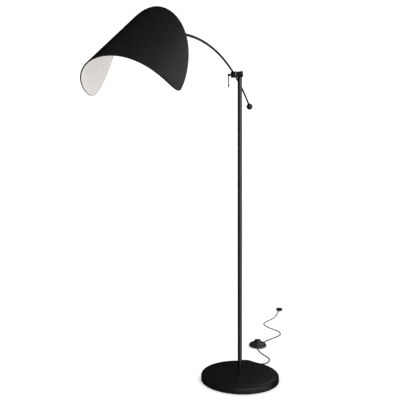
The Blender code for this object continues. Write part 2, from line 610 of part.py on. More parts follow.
def shade_section(girth):
    """Side and height of the bent sheet at a distance along it from the ridge."""
    along = np.linspace(0, SHADE_HALF_GIRTH, 241)
    turn = SHADE_FLARE * (1 - (1 - along / SHADE_HALF_GIRTH) ** SHADE_CURL)
    middle = (turn[1:] + turn[:-1]) / 2
    step = along[1]
    side = np.concatenate([[0], np.cumsum(np.cos(middle))]) * step
    height = -np.concatenate([[0], np.cumsum(np.sin(middle))]) * step
    return float(np.interp(girth, along, side)), float(np.interp(girth, along, height))


def shade_rim(rim, angle):
    """Distance from the ridge and along it of the sheet's outline; angle 0 is the ridge, 90 degrees the tip."""
    reach, girth_power, reach_power = rim
    return (SHADE_HALF_GIRTH * math.sin(angle) ** (2 / girth_power),
            reach * max(math.cos(angle), 0) ** (2 / reach_power))


def make_shade(lamp):
    """One flat sheet, cut to a leaf shape and bent over: front and back rims meet in the flaps' tips."""
    def build(bm):
        bmesh.ops.create_grid(bm, x_segments=34, y_segments=12, size=1)
        for vert in bm.verts:
            angle = abs(vert.co.x) * math.pi / 2
            share = (vert.co.y + 1) / 2
            front, back = shade_rim(SHADE_FRONT, angle), shade_rim(SHADE_BACK, angle)
            side, height = shade_section(front[0] + (back[0] - front[0]) * share)
            vert.co = (front[1] + (back[1] - front[1]) * share, math.copysign(side, vert.co.x), height)
        bmesh.ops.remove_doubles(bm, verts=bm.verts, dist=0.2 * MM)
        bmesh.ops.recalc_face_normals(bm, faces=bm.faces)
        if max(bm.faces, key=lambda face: face.calc_center_median().z).normal.z < 0:
            bmesh.ops.reverse_faces(bm, faces=bm.faces)
    mesh = mesh_from("lamp_shade", build)
    smooth(mesh, 50)
    shade = add_part("lamp_shade", mesh, "shade_sheet", SHADE_FRAME, lamp)
    wall = shade.modifiers.new("Sheet", "SOLIDIFY")
    wall.thickness = SHADE_WALL
    wall.offset = -1


# ---- foot switch --------------------------------------------------------------------------------
SWITCH_SEAM = 8 * MM                # height of the widest line, where the two shells meet
SWITCH_CROWN = (15.7 * MM, 20.5 * MM)   # radius and height of the top shell's opening
SWITCH_WALL = 1.8 * MM
SWITCH_FLAT = 30.3 * MM             # radius of the bottom shell's flat
BUTTON_RADIUS = 14.5 * MM
BUTTON_TOP = 30.2 * MM
BUTTON_FLANGE = 17.3 * MM
CORD_PORT_Z = 7.0 * MM
SWITCH_BUSH = (28.8 * MM, 48.8 * MM)    # inner and outer end of its strain reliefs, from its centre
PORT_IN, PORT_OUT = (SWITCH_FRAME @ Matrix.Rotation(angle, 4, "Z") @ Matrix.Translation((0, 0, CORD_PORT_Z))
                     @ ALONG_X for angle in (SWITCH_IN_ANGLE, SWITCH_OUT_ANGLE))


def make_switch(button):
    rim, seam, wall = SWITCH_RADIUS, SWITCH_SEAM, SWITCH_WALL
    hole, crown = SWITCH_CROWN
    brim = seam + wall / 2              # the dome starts here, above a short upright band
    dome = [(hole + (rim - hole) * math.sin(a), brim + (crown - brim) * math.cos(a) ** 1.3)
            for a in (math.pi / 2 * i / 7 for i in range(7))]
    lining = [(radius - wall / 2, height - wall) for radius, height in dome[1:]]
    profile = [*dome, (rim, brim), (rim, seam + GAP), (rim - wall, seam + GAP),
               *[point for point in reversed(lining) if point[0] < rim - wall - MM], (hole, crown - wall)]
    cover = turned("switch_cover", profile, "black_plastic", SWITCH_FRAME, steps=36, hollow=True)

    low = 1.2 * MM
    profile = [(rim, seam), (rim, seam - 1.5 * MM), (SWITCH_FLAT, low), (0, low), (0, low + wall),
               (SWITCH_FLAT - MM, low + wall), (rim - wall, seam - 1.0 * MM), (rim - wall, seam)]
    tray = turned("switch_tray", profile, "black_plastic", SWITCH_FRAME, steps=36, hollow=True)
    ring("switch_pad", 26 * MM, 20 * MM, 0, low - GAP, "rubber", SWITCH_FRAME, steps=32)

    # The core's latch sits in the tray; the button slides over its post, lifted by a spring.
    floor = low + wall + GAP
    latch, post, deck, peak = 9 * MM, 3 * MM, 10 * MM, 17 * MM
    profile = [(0, peak), (post, peak), (post, deck), (latch, deck), (latch, floor), (0, floor)]
    turned("switch_core", profile, "white_plastic", SWITCH_FRAME, steps=24)
    bore, inside, ceiling = 3.5 * MM, BUTTON_RADIUS - 2 * MM, 24 * MM
    flange_high, flange_low = crown - wall - 0.6 * MM, crown - wall - 2 * MM
    profile = [(0, BUTTON_TOP), (inside, BUTTON_TOP), (BUTTON_RADIUS, BUTTON_TOP - 1.6 * MM),
               (BUTTON_RADIUS, flange_high), (BUTTON_FLANGE, flange_high), (BUTTON_FLANGE, flange_low),
               (inside, flange_low), (inside, ceiling), (bore, ceiling), (bore, 28 * MM), (0, 28 * MM)]
    turned("switch_button", profile, "black_plastic", SWITCH_FRAME, button, steps=32)

    turns, low_z, high_z, coil = 3.5, 11 * MM, 23.2 * MM, 6.5 * MM
    points = [(coil * math.cos(turns * math.tau * share), coil * math.sin(turns * math.tau * share),
               low_z + (high_z - low_z) * share) for share in np.linspace(0, 1, 50)]
    name = "switch_spring"
    add_part(name, wire_curve(name, points, 0.5 * MM, 1), "zinc_steel", SWITCH_FRAME, button)

    for i in range(3):
        turn = Matrix.Rotation(math.radians(90 + 120 * i), 4, "Z")
        at = SWITCH_FRAME @ turn @ Matrix.Translation((16 * MM, 0, 0))
        drill(tray, 1.9 * MM, -MM, 9 * MM, at, 12)
        name = f"switch_screw_{i + 1}"
        add_part(name, rod_mesh(name, 1.5 * MM, low + 0.2 * MM, 9 * MM, 12), "zinc_steel", at)

    # Strain reliefs through holes split between the two shells.
    for name, port in (("switch_bush_in", PORT_IN), ("switch_bush_out", PORT_OUT)):
        for shell in (cover, tray):
            drill(shell, 3.9 * MM, 20 * MM, 50 * MM, port, 16)
        bore, shank, (inner, outer) = CORD_RADIUS + GAP, 3.6 * MM, SWITCH_BUSH
        profile = [(bore, outer), (bore + 0.4 * MM, outer), (shank, rim + MM), (shank, rim - 6 * MM),
                   (shank - 0.4 * MM, inner), (bore, inner)]
        turned(name, profile, "rubber", port, hollow=True, steps=16)


# ---- cord and plug ------------------------------------------------------------------------------
PLUG_Z = 7.2 * MM                   # height of its middle
PLUG_OUTLINE = [(0, 6.5), (3, 7.5), (14, 13), (22, 17), (33.5, 17), (35.5, 15), (35.5, 0)]
PLUG_LENGTH = 35.5 * MM


def lying(points, start_z, end_z, settle=26 * MM):
    """Gives floor points a height: down from one port to the floor, and up again to the next."""
    points = [Vector((x, y, 0)) for x, y in points]
    reach = np.concatenate([[0], np.cumsum([(b - a).length for a, b in zip(points, points[1:])])])
    laid = []
    for point, here in zip(points, reach):
        rise = 0
        for port_z, away in ((start_z, here), (end_z, reach[-1] - here)):
            share = max(0, 1 - away / settle)
            rise += (port_z - CORD_RADIUS) * share * share * (3 - 2 * share)
        laid.append((point.x, point.y, CORD_RADIUS + rise))
    return laid


def port_line(port, start):
    """Two floor points straight out of a port, 4 mm apart."""
    ends = [port @ Vector((0, 0, start + step)) for step in (0, 4 * MM)]
    return [(end.x, end.y) for end in ends]


def make_cord():
    """The two stretches of cord on the floor: base to foot switch, and foot switch to plug."""
    exit_end = port_line(EXIT_FRAME, BASE_RADIUS + BASE_BUSH_REACH + GAP)
    end_in, end_out = (port_line(port, SWITCH_BUSH[1] + GAP) for port in (PORT_IN, PORT_OUT))
    plug_end = [(PLUG_AT.x - reach * MM - GAP, PLUG_AT.y) for reach in (24, 20)]

    for name, route, rest, count in (
            ("cord_base_to_switch", [*exit_end, *ROUTE_TO_SWITCH, *reversed(end_in)],
             (CORD_EXIT_Z, CORD_PORT_Z), 34),
            ("cord_switch_to_plug", [*end_out, *ROUTE_TO_PLUG, *plug_end], (CORD_PORT_Z, PLUG_Z), 46)):
        laid = smooth_path(lying(route, *rest), count)
        add_part(name, wire_curve(name, laid, CORD_RADIUS, 2), "cord_sheath", UPRIGHT)


def make_plug():
    """A flat two-pin plug lying on its broad side."""
    outline = PLUG_OUTLINE + [(x, -y) for x, y in reversed(PLUG_OUTLINE[:-1])]
    curve = bpy.data.curves.new("plug_body", "CURVE")
    curve.dimensions = "2D"
    curve.fill_mode = "BOTH"
    curve.extrude = 6.6 * MM
    spline = curve.splines.new("POLY")
    spline.points.add(len(outline) - 1)
    spline.use_cyclic_u = True
    for point, (x, y) in zip(spline.points, outline):
        point.co = (x * MM, y * MM, 0, 1)
    at = Matrix.Translation(PLUG_AT + Vector((0, 0, PLUG_Z)))
    body = add_part("plug_body", curve, "black_plastic", at)
    weld = body.modifiers.new("Weld", "WELD")
    weld.merge_threshold = 0.00001
    add_bevel(body, 1.2 * MM, 2)

    profile = [(2.6, -GAP / MM), (5.0, -GAP / MM), (4.6, -4), (3.0, -20), (2.6, -20)]
    turned("plug_relief", [(radius * MM, height * MM) for radius, height in profile], "rubber",
           at @ ALONG_X, hollow=True, steps=16)
    for label, side in (("left", 9.5 * MM), ("right", -9.5 * MM)):
        frame = at @ Matrix.Translation((PLUG_LENGTH + GAP, side, 0)) @ ALONG_X
        profile = [(0, 19), (1.3, 19), (2.0, 18.2), (2.0, 0), (0, 0)]
        turned(f"plug_pin_{label}", [(radius * MM, height * MM) for radius, height in profile], "brass",
               frame, steps=16)


# ---- assembly -----------------------------------------------------------------------------------
clear_scene()
PARTS = new_collection("adjustable_arm_floor_lamp")
CUTTERS = new_collection("cutters")

swivel = make_holder("joint_head_swivel", (0, 0, POLE_TOP))
tilt = make_holder("joint_arm_tilt", (0, ARM_Y, BARREL_Z), swivel)
clamp = make_holder("joint_clamp_turn", (0, HUB_SPAN[1], BARREL_Z), tilt)
slide = make_holder("joint_arm_slide", ARM_CENTRE, tilt)
lamp = make_holder("joint_shade_tilt", KNUCKLE_AT, slide)
button = make_holder("joint_button_press", SWITCH_AT)

make_base()
make_base_cord_entry()
make_pole()
make_head(swivel)
make_hub(tilt)
make_clamp(clamp)
make_arm(slide)
make_knuckle(slide, lamp)
make_lampholder(lamp)
make_shade_fixing(lamp)
make_shade(lamp)
make_switch(button)
make_cord()
make_plug()
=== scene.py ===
"""The looks of the adjustable arm floor lamp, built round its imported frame. Metres, +Z up."""

import json
import math

import bpy
import numpy as np
from mathutils import Matrix, Vector


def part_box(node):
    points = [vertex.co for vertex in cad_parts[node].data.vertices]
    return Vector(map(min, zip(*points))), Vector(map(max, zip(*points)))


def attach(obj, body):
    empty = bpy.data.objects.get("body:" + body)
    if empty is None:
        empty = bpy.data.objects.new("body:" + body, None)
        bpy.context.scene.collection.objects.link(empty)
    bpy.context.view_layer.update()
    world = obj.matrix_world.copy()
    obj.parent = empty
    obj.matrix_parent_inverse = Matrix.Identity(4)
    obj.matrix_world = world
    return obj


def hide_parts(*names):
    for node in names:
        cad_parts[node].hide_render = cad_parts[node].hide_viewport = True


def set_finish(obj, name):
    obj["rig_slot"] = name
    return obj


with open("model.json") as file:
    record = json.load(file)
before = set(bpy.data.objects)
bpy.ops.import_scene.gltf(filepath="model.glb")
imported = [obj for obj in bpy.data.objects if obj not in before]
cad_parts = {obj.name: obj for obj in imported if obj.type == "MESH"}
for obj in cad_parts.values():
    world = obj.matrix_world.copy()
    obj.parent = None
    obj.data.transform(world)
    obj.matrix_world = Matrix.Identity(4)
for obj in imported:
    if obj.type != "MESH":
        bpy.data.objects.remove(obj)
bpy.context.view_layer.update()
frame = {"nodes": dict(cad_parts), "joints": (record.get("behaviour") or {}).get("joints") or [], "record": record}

MM = 0.001
NODES = frame["nodes"]
JOINT_AT = {joint["name"]: Vector(joint["pos_m"]) for joint in frame["joints"] if "pos_m" in joint}
UPRIGHT = Matrix.Identity(4)


# ---- places, as the frame has them --------------------------------------------------------------
def pointing(at, direction):
    """A place whose local +Z runs along direction."""
    return Matrix.Translation(at) @ Vector(direction).to_track_quat("Z", "Y").to_matrix().to_4x4()


def frame_along(at, direction):
    """A place with local +X along direction, +Z above it in the arm's plane, and +Y towards -Y."""
    forward, side = Vector(direction).normalized(), Vector((0, -1, 0))
    turn = Matrix((forward, side, forward.cross(side))).transposed().to_4x4()
    return Matrix.Translation(at) @ turn


ALONG_X = Matrix.Rotation(math.radians(90), 4, "Y")       # turns a local Z axis into +X
ALONG_Y = Matrix.Rotation(math.radians(-90), 4, "X")      # turns a local Z axis into +Y

PIVOT = JOINT_AT["arm_tilt"]
BARREL_FRAME = pointing((0, 0, PIVOT.z), (0, 1, 0))       # local +Z is +Y
LEVER_FRAME = Matrix.Translation((0, 41.5 * MM, PIVOT.z))

ARM_CENTRE = JOINT_AT["arm_slide"]
ARM_CURVE = 1693 * MM
ARM_RADIUS = 3.35 * MM
ARM_FRONT, ARM_TAIL = math.radians(21.5), math.radians(-16.15)
HUB_ANGLE = math.asin(ARM_CENTRE.x / ARM_CURVE)


def on_arm(angle):
    """The point of the arm's arc at this angle from straight above its centre."""
    return ARM_CENTRE + ARM_CURVE * Vector((-math.sin(angle), 0, math.cos(angle)))


def arm_direction(angle):
    return Vector((-math.cos(angle), 0, -math.sin(angle)))


SHADE_SLOPE = math.radians(36.77)
SHADE_FORWARD = Vector((-math.cos(SHADE_SLOPE), 0, -math.sin(SHADE_SLOPE)))
SHADE_FRAME = frame_along((-942.7 * MM, PIVOT.y, 934.1 * MM), SHADE_FORWARD)
SHADE_PIVOT = JOINT_AT["shade_tilt"]
KNUCKLE_FRAME = frame_along(SHADE_PIVOT, arm_direction(ARM_FRONT))
LAMP_FRAME = frame_along(SHADE_PIVOT, SHADE_FORWARD)
LAMP_AXIS = LAMP_FRAME @ ALONG_X                          # local +Z runs out of the lampholder

CORD_EXIT_ANGLE = math.radians(11.3)
EXIT_DIRECTION = Vector((math.cos(CORD_EXIT_ANGLE), math.sin(CORD_EXIT_ANGLE), 0))
CORD_EXIT_Z = 6.2 * MM
EXIT_FRAME = pointing((0, 0, CORD_EXIT_Z), EXIT_DIRECTION)
BASE_RADIUS = 140 * MM
SWITCH_FRAME = Matrix.Translation((406.5 * MM, 0.8 * MM, 0))
CORD_PORT_Z = 7.0 * MM
PORT_IN, PORT_OUT = (SWITCH_FRAME @ Matrix.Rotation(math.radians(bearing), 4, "Z")
                     @ Matrix.Translation((0, 0, CORD_PORT_Z)) @ ALONG_X for bearing in (190, -16))
BUSH_END = 48.8 * MM                 # where a switch relief ends, from the middle of the switch
BASE_BUSH_REACH = 22 * MM            # and the base's relief, from its edge
CORD_GAP = 0.3 * MM
PLUG_AT = Vector((1112 * MM, -8.5 * MM, 7.2 * MM))


# ---- camera -------------------------------------------------------------------------------------
def make_camera():
    bpy.ops.object.camera_add(location=(-1.72099, -0.34348, 0.649),
                              rotation=(math.radians(90), 0, math.radians(-74)))
    camera = bpy.context.object
    camera.data.sensor_width = 36
    camera.data.lens = 43.456
    bpy.context.scene.camera = camera


# ---- finishes -----------------------------------------------------------------------------------
def linear(hex_colour):
    """An sRGB hex colour as linear RGBA."""
    values = [int(hex_colour[i:i + 2], 16) / 255 for i in (1, 3, 5)]
    return (*[v / 12.92 if v <= 0.04045 else ((v + 0.055) / 1.055) ** 2.4 for v in values], 1)


def add_node(material, kind, inputs=None, **settings):
    """Adds a node with its settings; inputs gives each socket a value or another node's output."""
    tree = material.node_tree
    node = tree.nodes.new(kind)
    for name, value in settings.items():
        setattr(node, name, value)
    for socket, value in (inputs or {}).items():
        if isinstance(value, bpy.types.NodeSocket):
            tree.links.new(value, node.inputs[socket])
        else:
            node.inputs[socket].default_value = value
    return node


def new_finish(name, **shader_values):
    """A material with its constant values set on the shader's own sockets."""
    material = bpy.data.materials.new(name)
    material.use_nodes = True
    shader = material.node_tree.nodes["Principled BSDF"]
    for socket, value in shader_values.items():
        shader.inputs[socket.replace("_", " ")].default_value = value
    return material


def grained(material, colours, size, roughness, relief, stretch=(1, 1, 1), detail=3):
    """Lays one grain over a finish: colour and roughness drift with it and its relief stands up.

    size is the grain's width and relief its height, in metres; stretch widens it along an axis."""
    shader = material.node_tree.nodes["Principled BSDF"]
    place = add_node(material, "ShaderNodeTexCoord").outputs["Object"]
    scaled = add_node(material, "ShaderNodeMapping",
                      {"Vector": place, "Scale": [1 / (size * s) for s in stretch]}).outputs["Vector"]
    grain = add_node(material, "ShaderNodeTexNoise",
                     {"Vector": scaled, "Scale": 1.0, "Detail": detail, "Roughness": 0.55}).outputs["Fac"]
    drift = add_node(material, "ShaderNodeTexNoise",
                     {"Vector": scaled, "Scale": 0.06, "Detail": 2.0}).outputs["Fac"]
    tone = add_node(material, "ShaderNodeMix",
                    {"Factor": drift, 6: linear(colours[0]), 7: linear(colours[1])},
                    data_type="RGBA").outputs[2]
    gloss = add_node(material, "ShaderNodeMapRange",
                     {"Value": drift, "From Min": 0.3, "From Max": 0.7,
                      "To Min": roughness[0], "To Max": roughness[1]}).outputs["Result"]
    bump = add_node(material, "ShaderNodeBump",
                    {"Height": grain, "Strength": 1.0, "Distance": relief}).outputs["Normal"]
    links = material.node_tree.links
    links.new(tone, shader.inputs["Base Color"])
    links.new(gloss, shader.inputs["Roughness"])
    links.new(bump, shader.inputs["Normal"])
    return material


def painted_edge_highlight(material, highlight_tone, width):
    """Paints a highlight on a finish: its sharpest edges turn to a lighter tone, in small broken touches."""
    tree = material.node_tree
    shader = tree.nodes["Principled BSDF"]
    under = shader.inputs["Base Color"].links[0].from_socket
    edge = add_node(material, "ShaderNodeNewGeometry").outputs["Pointiness"]
    place = add_node(material, "ShaderNodeTexCoord").outputs["Object"]
    patch = add_node(material, "ShaderNodeTexNoise",
                     {"Vector": place, "Scale": 1 / width, "Detail": 3.0}).outputs["Fac"]
    sharp = add_node(material, "ShaderNodeMapRange",
                     {"Value": edge, "From Min": 0.54, "From Max": 0.62}).outputs["Result"]
    broken = add_node(material, "ShaderNodeMath", {0: sharp, 1: patch}, operation="MULTIPLY").outputs[0]
    # painted highlight: sharp edges are mixed towards the lighter tone
    tone = add_node(material, "ShaderNodeMix", {"Factor": broken, 6: under, 7: linear(highlight_tone)},
                    data_type="RGBA").outputs[2]
    tree.links.new(tone, shader.inputs["Base Color"])
    return material


def make_finishes():
    finishes = {}

    # Polyester powder coat, satin black, baked on steel: a fine orange peel of about 1.5 mm that
    # breaks reflections up softly, and hardly any colour of its own.
    # Its sharpest edges get a painted highlight, a lighter grey in small broken touches.
    finishes["powder_coat"] = painted_edge_highlight(
        grained(new_finish("black_powder_coat", Specular_IOR_Level=0.22), ("#0f0e0e", "#161514"), 1.5 * MM,
                (0.36, 0.44), 0.030 * MM), "#3a3a3a", 6 * MM)

    # The same coat on the shade, rolled on thinner: flatter, so the bent sheet shades softly.
    finishes["shade_coat"] = grained(
        new_finish("matte_powder_coated_sheet", Specular_IOR_Level=0.2), ("#121112", "#181717"), 2 * MM,
        (0.48, 0.56), 0.035 * MM)

    # Stoved white enamel inside the shade: smooth, faintly warm, a long low ripple from spraying.
    finishes["enamel"] = grained(
        new_finish("white_stoving_enamel", Specular_IOR_Level=0.3), ("#dedbd9", "#d9d6d4"), 3 * MM,
        (0.42, 0.52), 0.020 * MM)

    # The ball on the arm's tail is dipped in a glossier black.
    finishes["dipped_lacquer"] = grained(
        new_finish("black_dipped_lacquer", IOR=1.52), ("#0c0c0c", "#131313"), 1.5 * MM,
        (0.26, 0.34), 0.010 * MM)

    # Semi-gloss lacquer on cold-drawn tube: the die's lengthwise lines still show through it.
    finishes["pole_lacquer"] = grained(
        new_finish("black_lacquered_drawn_tube", IOR=1.5, Coat_Weight=0.25, Coat_Roughness=0.12),
        ("#08080a", "#0d0d0f"), 1.2 * MM, (0.20, 0.28), 0.010 * MM, stretch=(1, 1, 60))
    finishes["arm_lacquer"] = grained(
        new_finish("black_lacquered_bent_tube", Specular_IOR_Level=0.1), ("#0a0a0b", "#0f0f0f"), 1.2 * MM,
        (0.38, 0.46), 0.012 * MM)

    # Bright nickel on turned steel: tool marks run round it, here along one axis 0.4 mm apart.
    finishes["nickel"] = grained(
        new_finish("nickel_plated_turned_steel", Metallic=1.0), ("#5b5a58", "#6a6966"), 0.4 * MM,
        (0.24, 0.36), 0.006 * MM, stretch=(8, 8, 1))

    # Clear zinc on fasteners: cooler than nickel and a little cloudy.
    finishes["zinc"] = grained(
        new_finish("clear_zinc_plated_steel", Metallic=1.0), ("#8f9499", "#b4b8ba"), 0.8 * MM,
        (0.32, 0.48), 0.006 * MM)

    # Black-oxide steel for the clamp's screw: nearly black metal with an oily sheen.
    finishes["black_oxide"] = grained(
        new_finish("black_oxide_steel", Metallic=0.85), ("#1d1d1f", "#29292a"), 0.9 * MM,
        (0.30, 0.42), 0.008 * MM)

    # Sand-cast iron, left raw under the cover: coarse grain of about 1.2 mm.
    finishes["cast_iron"] = grained(
        new_finish("sand_cast_iron", Metallic=0.7), ("#34322f", "#4b4742"), 1.2 * MM,
        (0.62, 0.8), 0.20 * MM, detail=6)

    # Brass contact sleeve and nickel-plated brass pins.
    finishes["brass"] = grained(
        new_finish("drawn_brass", Metallic=1.0), ("#b8924a", "#c7a25c"), 0.6 * MM,
        (0.22, 0.34), 0.005 * MM, stretch=(1, 1, 20))
    finishes["pin"] = grained(
        new_finish("nickel_plated_brass", Metallic=1.0), ("#b3ada0", "#c4beb2"), 0.5 * MM,
        (0.18, 0.28), 0.004 * MM)

    # Injection-moulded ABS with a spark-eroded grain of about 0.8 mm: dark grey-black, satin.
    # Its sharpest edges get a painted highlight as well, a lighter grey in small broken touches.
    finishes["abs"] = painted_edge_highlight(
        grained(new_finish("spark_textured_abs", IOR=1.53), ("#1c1d1b", "#262724"), 0.8 * MM,
                (0.30, 0.40), 0.035 * MM), "#4a4a48", 4 * MM)

    # The button is the same ABS from a polished mould, dulled by feet.
    finishes["abs_polished"] = grained(
        new_finish("polished_abs", IOR=1.53), ("#1a1a1a", "#222221"), 1.0 * MM,
        (0.20, 0.36), 0.008 * MM)

    # Phenolic lampholder: hard, glossy brown-black moulding with a faint flow mottle.
    finishes["phenolic"] = grained(
        new_finish("phenolic_moulding", IOR=1.6), ("#0f0c0b", "#1b1614"), 2.5 * MM,
        (0.16, 0.26), 0.010 * MM)

    # Soft PVC sheath of a round flex: matte, with a slight bloom, and a drag texture of 1 mm.
    finishes["cord_pvc"] = grained(
        new_finish("soft_pvc_sheath", IOR=1.52, Sheen_Weight=0.15, Sheen_Roughness=0.5),
        ("#232323", "#2d2d2d"), 1.0 * MM, (0.46, 0.58), 0.020 * MM)
    finishes["moulded_pvc"] = grained(
        new_finish("moulded_pvc", IOR=1.52), ("#191919", "#212121"), 1.2 * MM,
        (0.40, 0.52), 0.030 * MM)

    # Vulcanised rubber foot pads: dead matte, a coarse press grain.
    finishes["rubber"] = grained(
        new_finish("pressed_rubber", IOR=1.52), ("#161616", "#1f1f1f"), 1.8 * MM,
        (0.75, 0.88), 0.06 * MM, detail=5)

    # Natural nylon: milky, waxy.
    finishes["nylon"] = grained(
        new_finish("natural_nylon", IOR=1.53, Subsurface_Weight=0.2, Subsurface_Scale=0.002),
        ("#dedad0", "#e8e5dc"), 1.0 * MM, (0.36, 0.46), 0.01 * MM)

    # White PVC insulation on the cores.
    finishes["core_pvc"] = grained(
        new_finish("white_pvc_insulation", IOR=1.52), ("#dcdcd8", "#e9e9e6"), 1.0 * MM,
        (0.34, 0.44), 0.01 * MM)

    # Opal bulb: milk-white layer behind clear gloss, so light bleeds under a crisp highlight.
    finishes["opal"] = grained(
        new_finish("opal_bulb_glass", IOR=1.5, Subsurface_Weight=0.5, Subsurface_Scale=0.006,
                   Coat_Weight=0.5, Coat_Roughness=0.05),
        ("#f3f1ea", "#efece4"), 8 * MM, (0.16, 0.22), 0.004 * MM)
    return finishes


# ---- modelling tools ----------------------------------------------------------------------------
def only(obj):
    """Selects this object and nothing else."""
    bpy.ops.object.select_all(action="DESELECT")
    obj.select_set(True)
    bpy.context.view_layer.objects.active = obj


def apply_place(obj, matrix):
    """Puts a piece modelled at the origin into its place, and leaves that in its mesh."""
    only(obj)
    obj.matrix_world = matrix
    bpy.ops.object.transform_apply(location=True, rotation=True, scale=True)


def modify(obj, kind, **settings):
    """Adds a modifier and applies it."""
    only(obj)
    modifier = obj.modifiers.new(kind.title(), kind)
    for name, value in settings.items():
        setattr(modifier, name, value)
    bpy.ops.object.modifier_apply(modifier=modifier.name)


def pick(obj, kind, wanted):
    """Enters edit mode with only the wanted edges or faces selected."""
    only(obj)
    bpy.ops.object.mode_set(mode="EDIT")
    bpy.ops.mesh.select_mode(type=kind)
    bpy.ops.mesh.select_all(action="DESELECT")
    bpy.ops.object.mode_set(mode="OBJECT")
    for element in (obj.data.edges if kind == "EDGE" else obj.data.polygons):
        element.select = wanted(element)
    bpy.ops.object.mode_set(mode="EDIT")


def soften(obj, width, segments=2, angle=32):
    """Rounds every edge sharper than angle."""
    modify(obj, "BEVEL", width=width, segments=segments, limit_method="ANGLE",
           angle_limit=math.radians(angle))


def combine(obj, other, operation):
    """Joins or cuts obj with another closed piece, which is used up."""
    modify(obj, "BOOLEAN", object=other, operation=operation, solver="EXACT")
    bpy.data.objects.remove(other)


def pull_ring(radius, height, old_radius, old_height):
    """Extrudes the selected ring along Z and scales it to its new radius."""
    bpy.ops.mesh.extrude_region_move(TRANSFORM_OT_translate={"value": (0, 0, height - old_height)})
    if radius == 0:
        bpy.ops.mesh.merge(type="CENTER")
    else:
        share = radius / old_radius
        bpy.ops.transform.resize(value=(share, share, 1), center_override=(0, 0, height))


def turned(profile, place=UPRIGHT, sides=48, closed=False):
    """Turns a profile of (radius, height) in mm: a circle is pulled and scaled from point to point.

    A closed profile comes back to its start, for a hollow piece. An open end on the axis is drawn
    to a point, and any other open end gets a flat cap."""
    points = [(radius * MM, height * MM) for radius, height in profile]
    tip = points.pop(0) if points[0][0] == 0 else None
    bpy.ops.object.select_all(action="DESELECT")
    bpy.ops.mesh.primitive_circle_add(vertices=sides, radius=points[0][0], fill_type="NOTHING")
    obj = bpy.context.object
    bpy.ops.object.mode_set(mode="EDIT")
    bpy.ops.mesh.select_mode(type="VERT")
    bpy.ops.mesh.select_all(action="SELECT")
    bpy.ops.transform.translate(value=(0, 0, points[0][1]))
    loop = points[1:] + ([points[0]] if closed else [])
    for here, last in zip(loop, points):
        pull_ring(*here, *last)
    if not closed and points[-1][0] > 0:
        bpy.ops.mesh.edge_face_add()
    if not closed:
        bpy.ops.mesh.select_all(action="DESELECT")
        bpy.ops.object.mode_set(mode="OBJECT")
        for vert in obj.data.vertices[:sides]:
            vert.select = True
        bpy.ops.object.mode_set(mode="EDIT")
        if tip is None:
            bpy.ops.mesh.edge_face_add()
        else:
            pull_ring(*tip, *points[0])
    bpy.ops.mesh.select_all(action="SELECT")
    bpy.ops.mesh.remove_doubles(threshold=0.001 * MM)
    bpy.ops.mesh.normals_make_consistent(inside=False)
    bpy.ops.object.mode_set(mode="OBJECT")
    apply_place(obj, place)
    return obj


def block(low, high, place=UPRIGHT):
    """A cube stretched between two opposite corners, given in mm."""
    low, high = Vector(low) * MM, Vector(high) * MM
    bpy.ops.object.select_all(action="DESELECT")
    bpy.ops.mesh.primitive_cube_add(size=1, location=(low + high) / 2)
    obj = bpy.context.object
    obj.scale = high - low
    bpy.ops.object.transform_apply(location=True, rotation=True, scale=True)
    apply_place(obj, place)
    return obj


def drill(obj, radius, low, high, place, sides=32):
    """Cuts a round or many-sided hole, in mm along the place's local Z."""
    combine(obj, turned([(radius, low), (radius, high)], place, sides), "DIFFERENCE")


def arc(radii, centre, start, end, steps):
    """Profile points on an ellipse's arc, from start to end degrees; 0 is straight out, 90 is up."""
    angles = [math.radians(start + (end - start) * i / steps) for i in range(steps + 1)]
    return [(centre[0] + radii[0] * math.cos(a), centre[1] + radii[1] * math.sin(a)) for a in angles]


def finish_piece(obj, name, body, finish, slot, replaces=(), crease=35):
    """Names a piece, smooths it up to its creases, gives it its finish and its CAD body."""
    obj.name = obj.data.name = name
    if obj.type == "MESH":
        only(obj)
        bpy.ops.object.shade_smooth_by_angle(angle=math.radians(crease))
    obj.data.materials.clear()
    obj.data.materials.append(finish)
    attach(obj, body)
    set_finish(obj, slot)
    if replaces:
        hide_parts(*replaces)
    return obj


def copy_piece(obj, matrix):
    """A copy with its own mesh, moved by matrix."""
    twin = obj.copy()
    twin.data = obj.data.copy()
    bpy.context.scene.collection.objects.link(twin)
    apply_place(twin, matrix)
    return twin


def flex_ribs(wide, narrow, start, end, ribs):
    """Outline of a moulded strain relief: rings with gaps between them, tapering from start to end."""
    points = []
    step = (end - start) / ribs
    for i in range(ribs):
        radius = wide + (narrow - wide) * i / (ribs - 1)
        at = start + step * i
        points += [(radius, at), (radius, at + 0.62 * step), (radius - 0.75, at + 0.70 * step),
                   (radius - 0.75, at + 0.94 * step)]
    return points


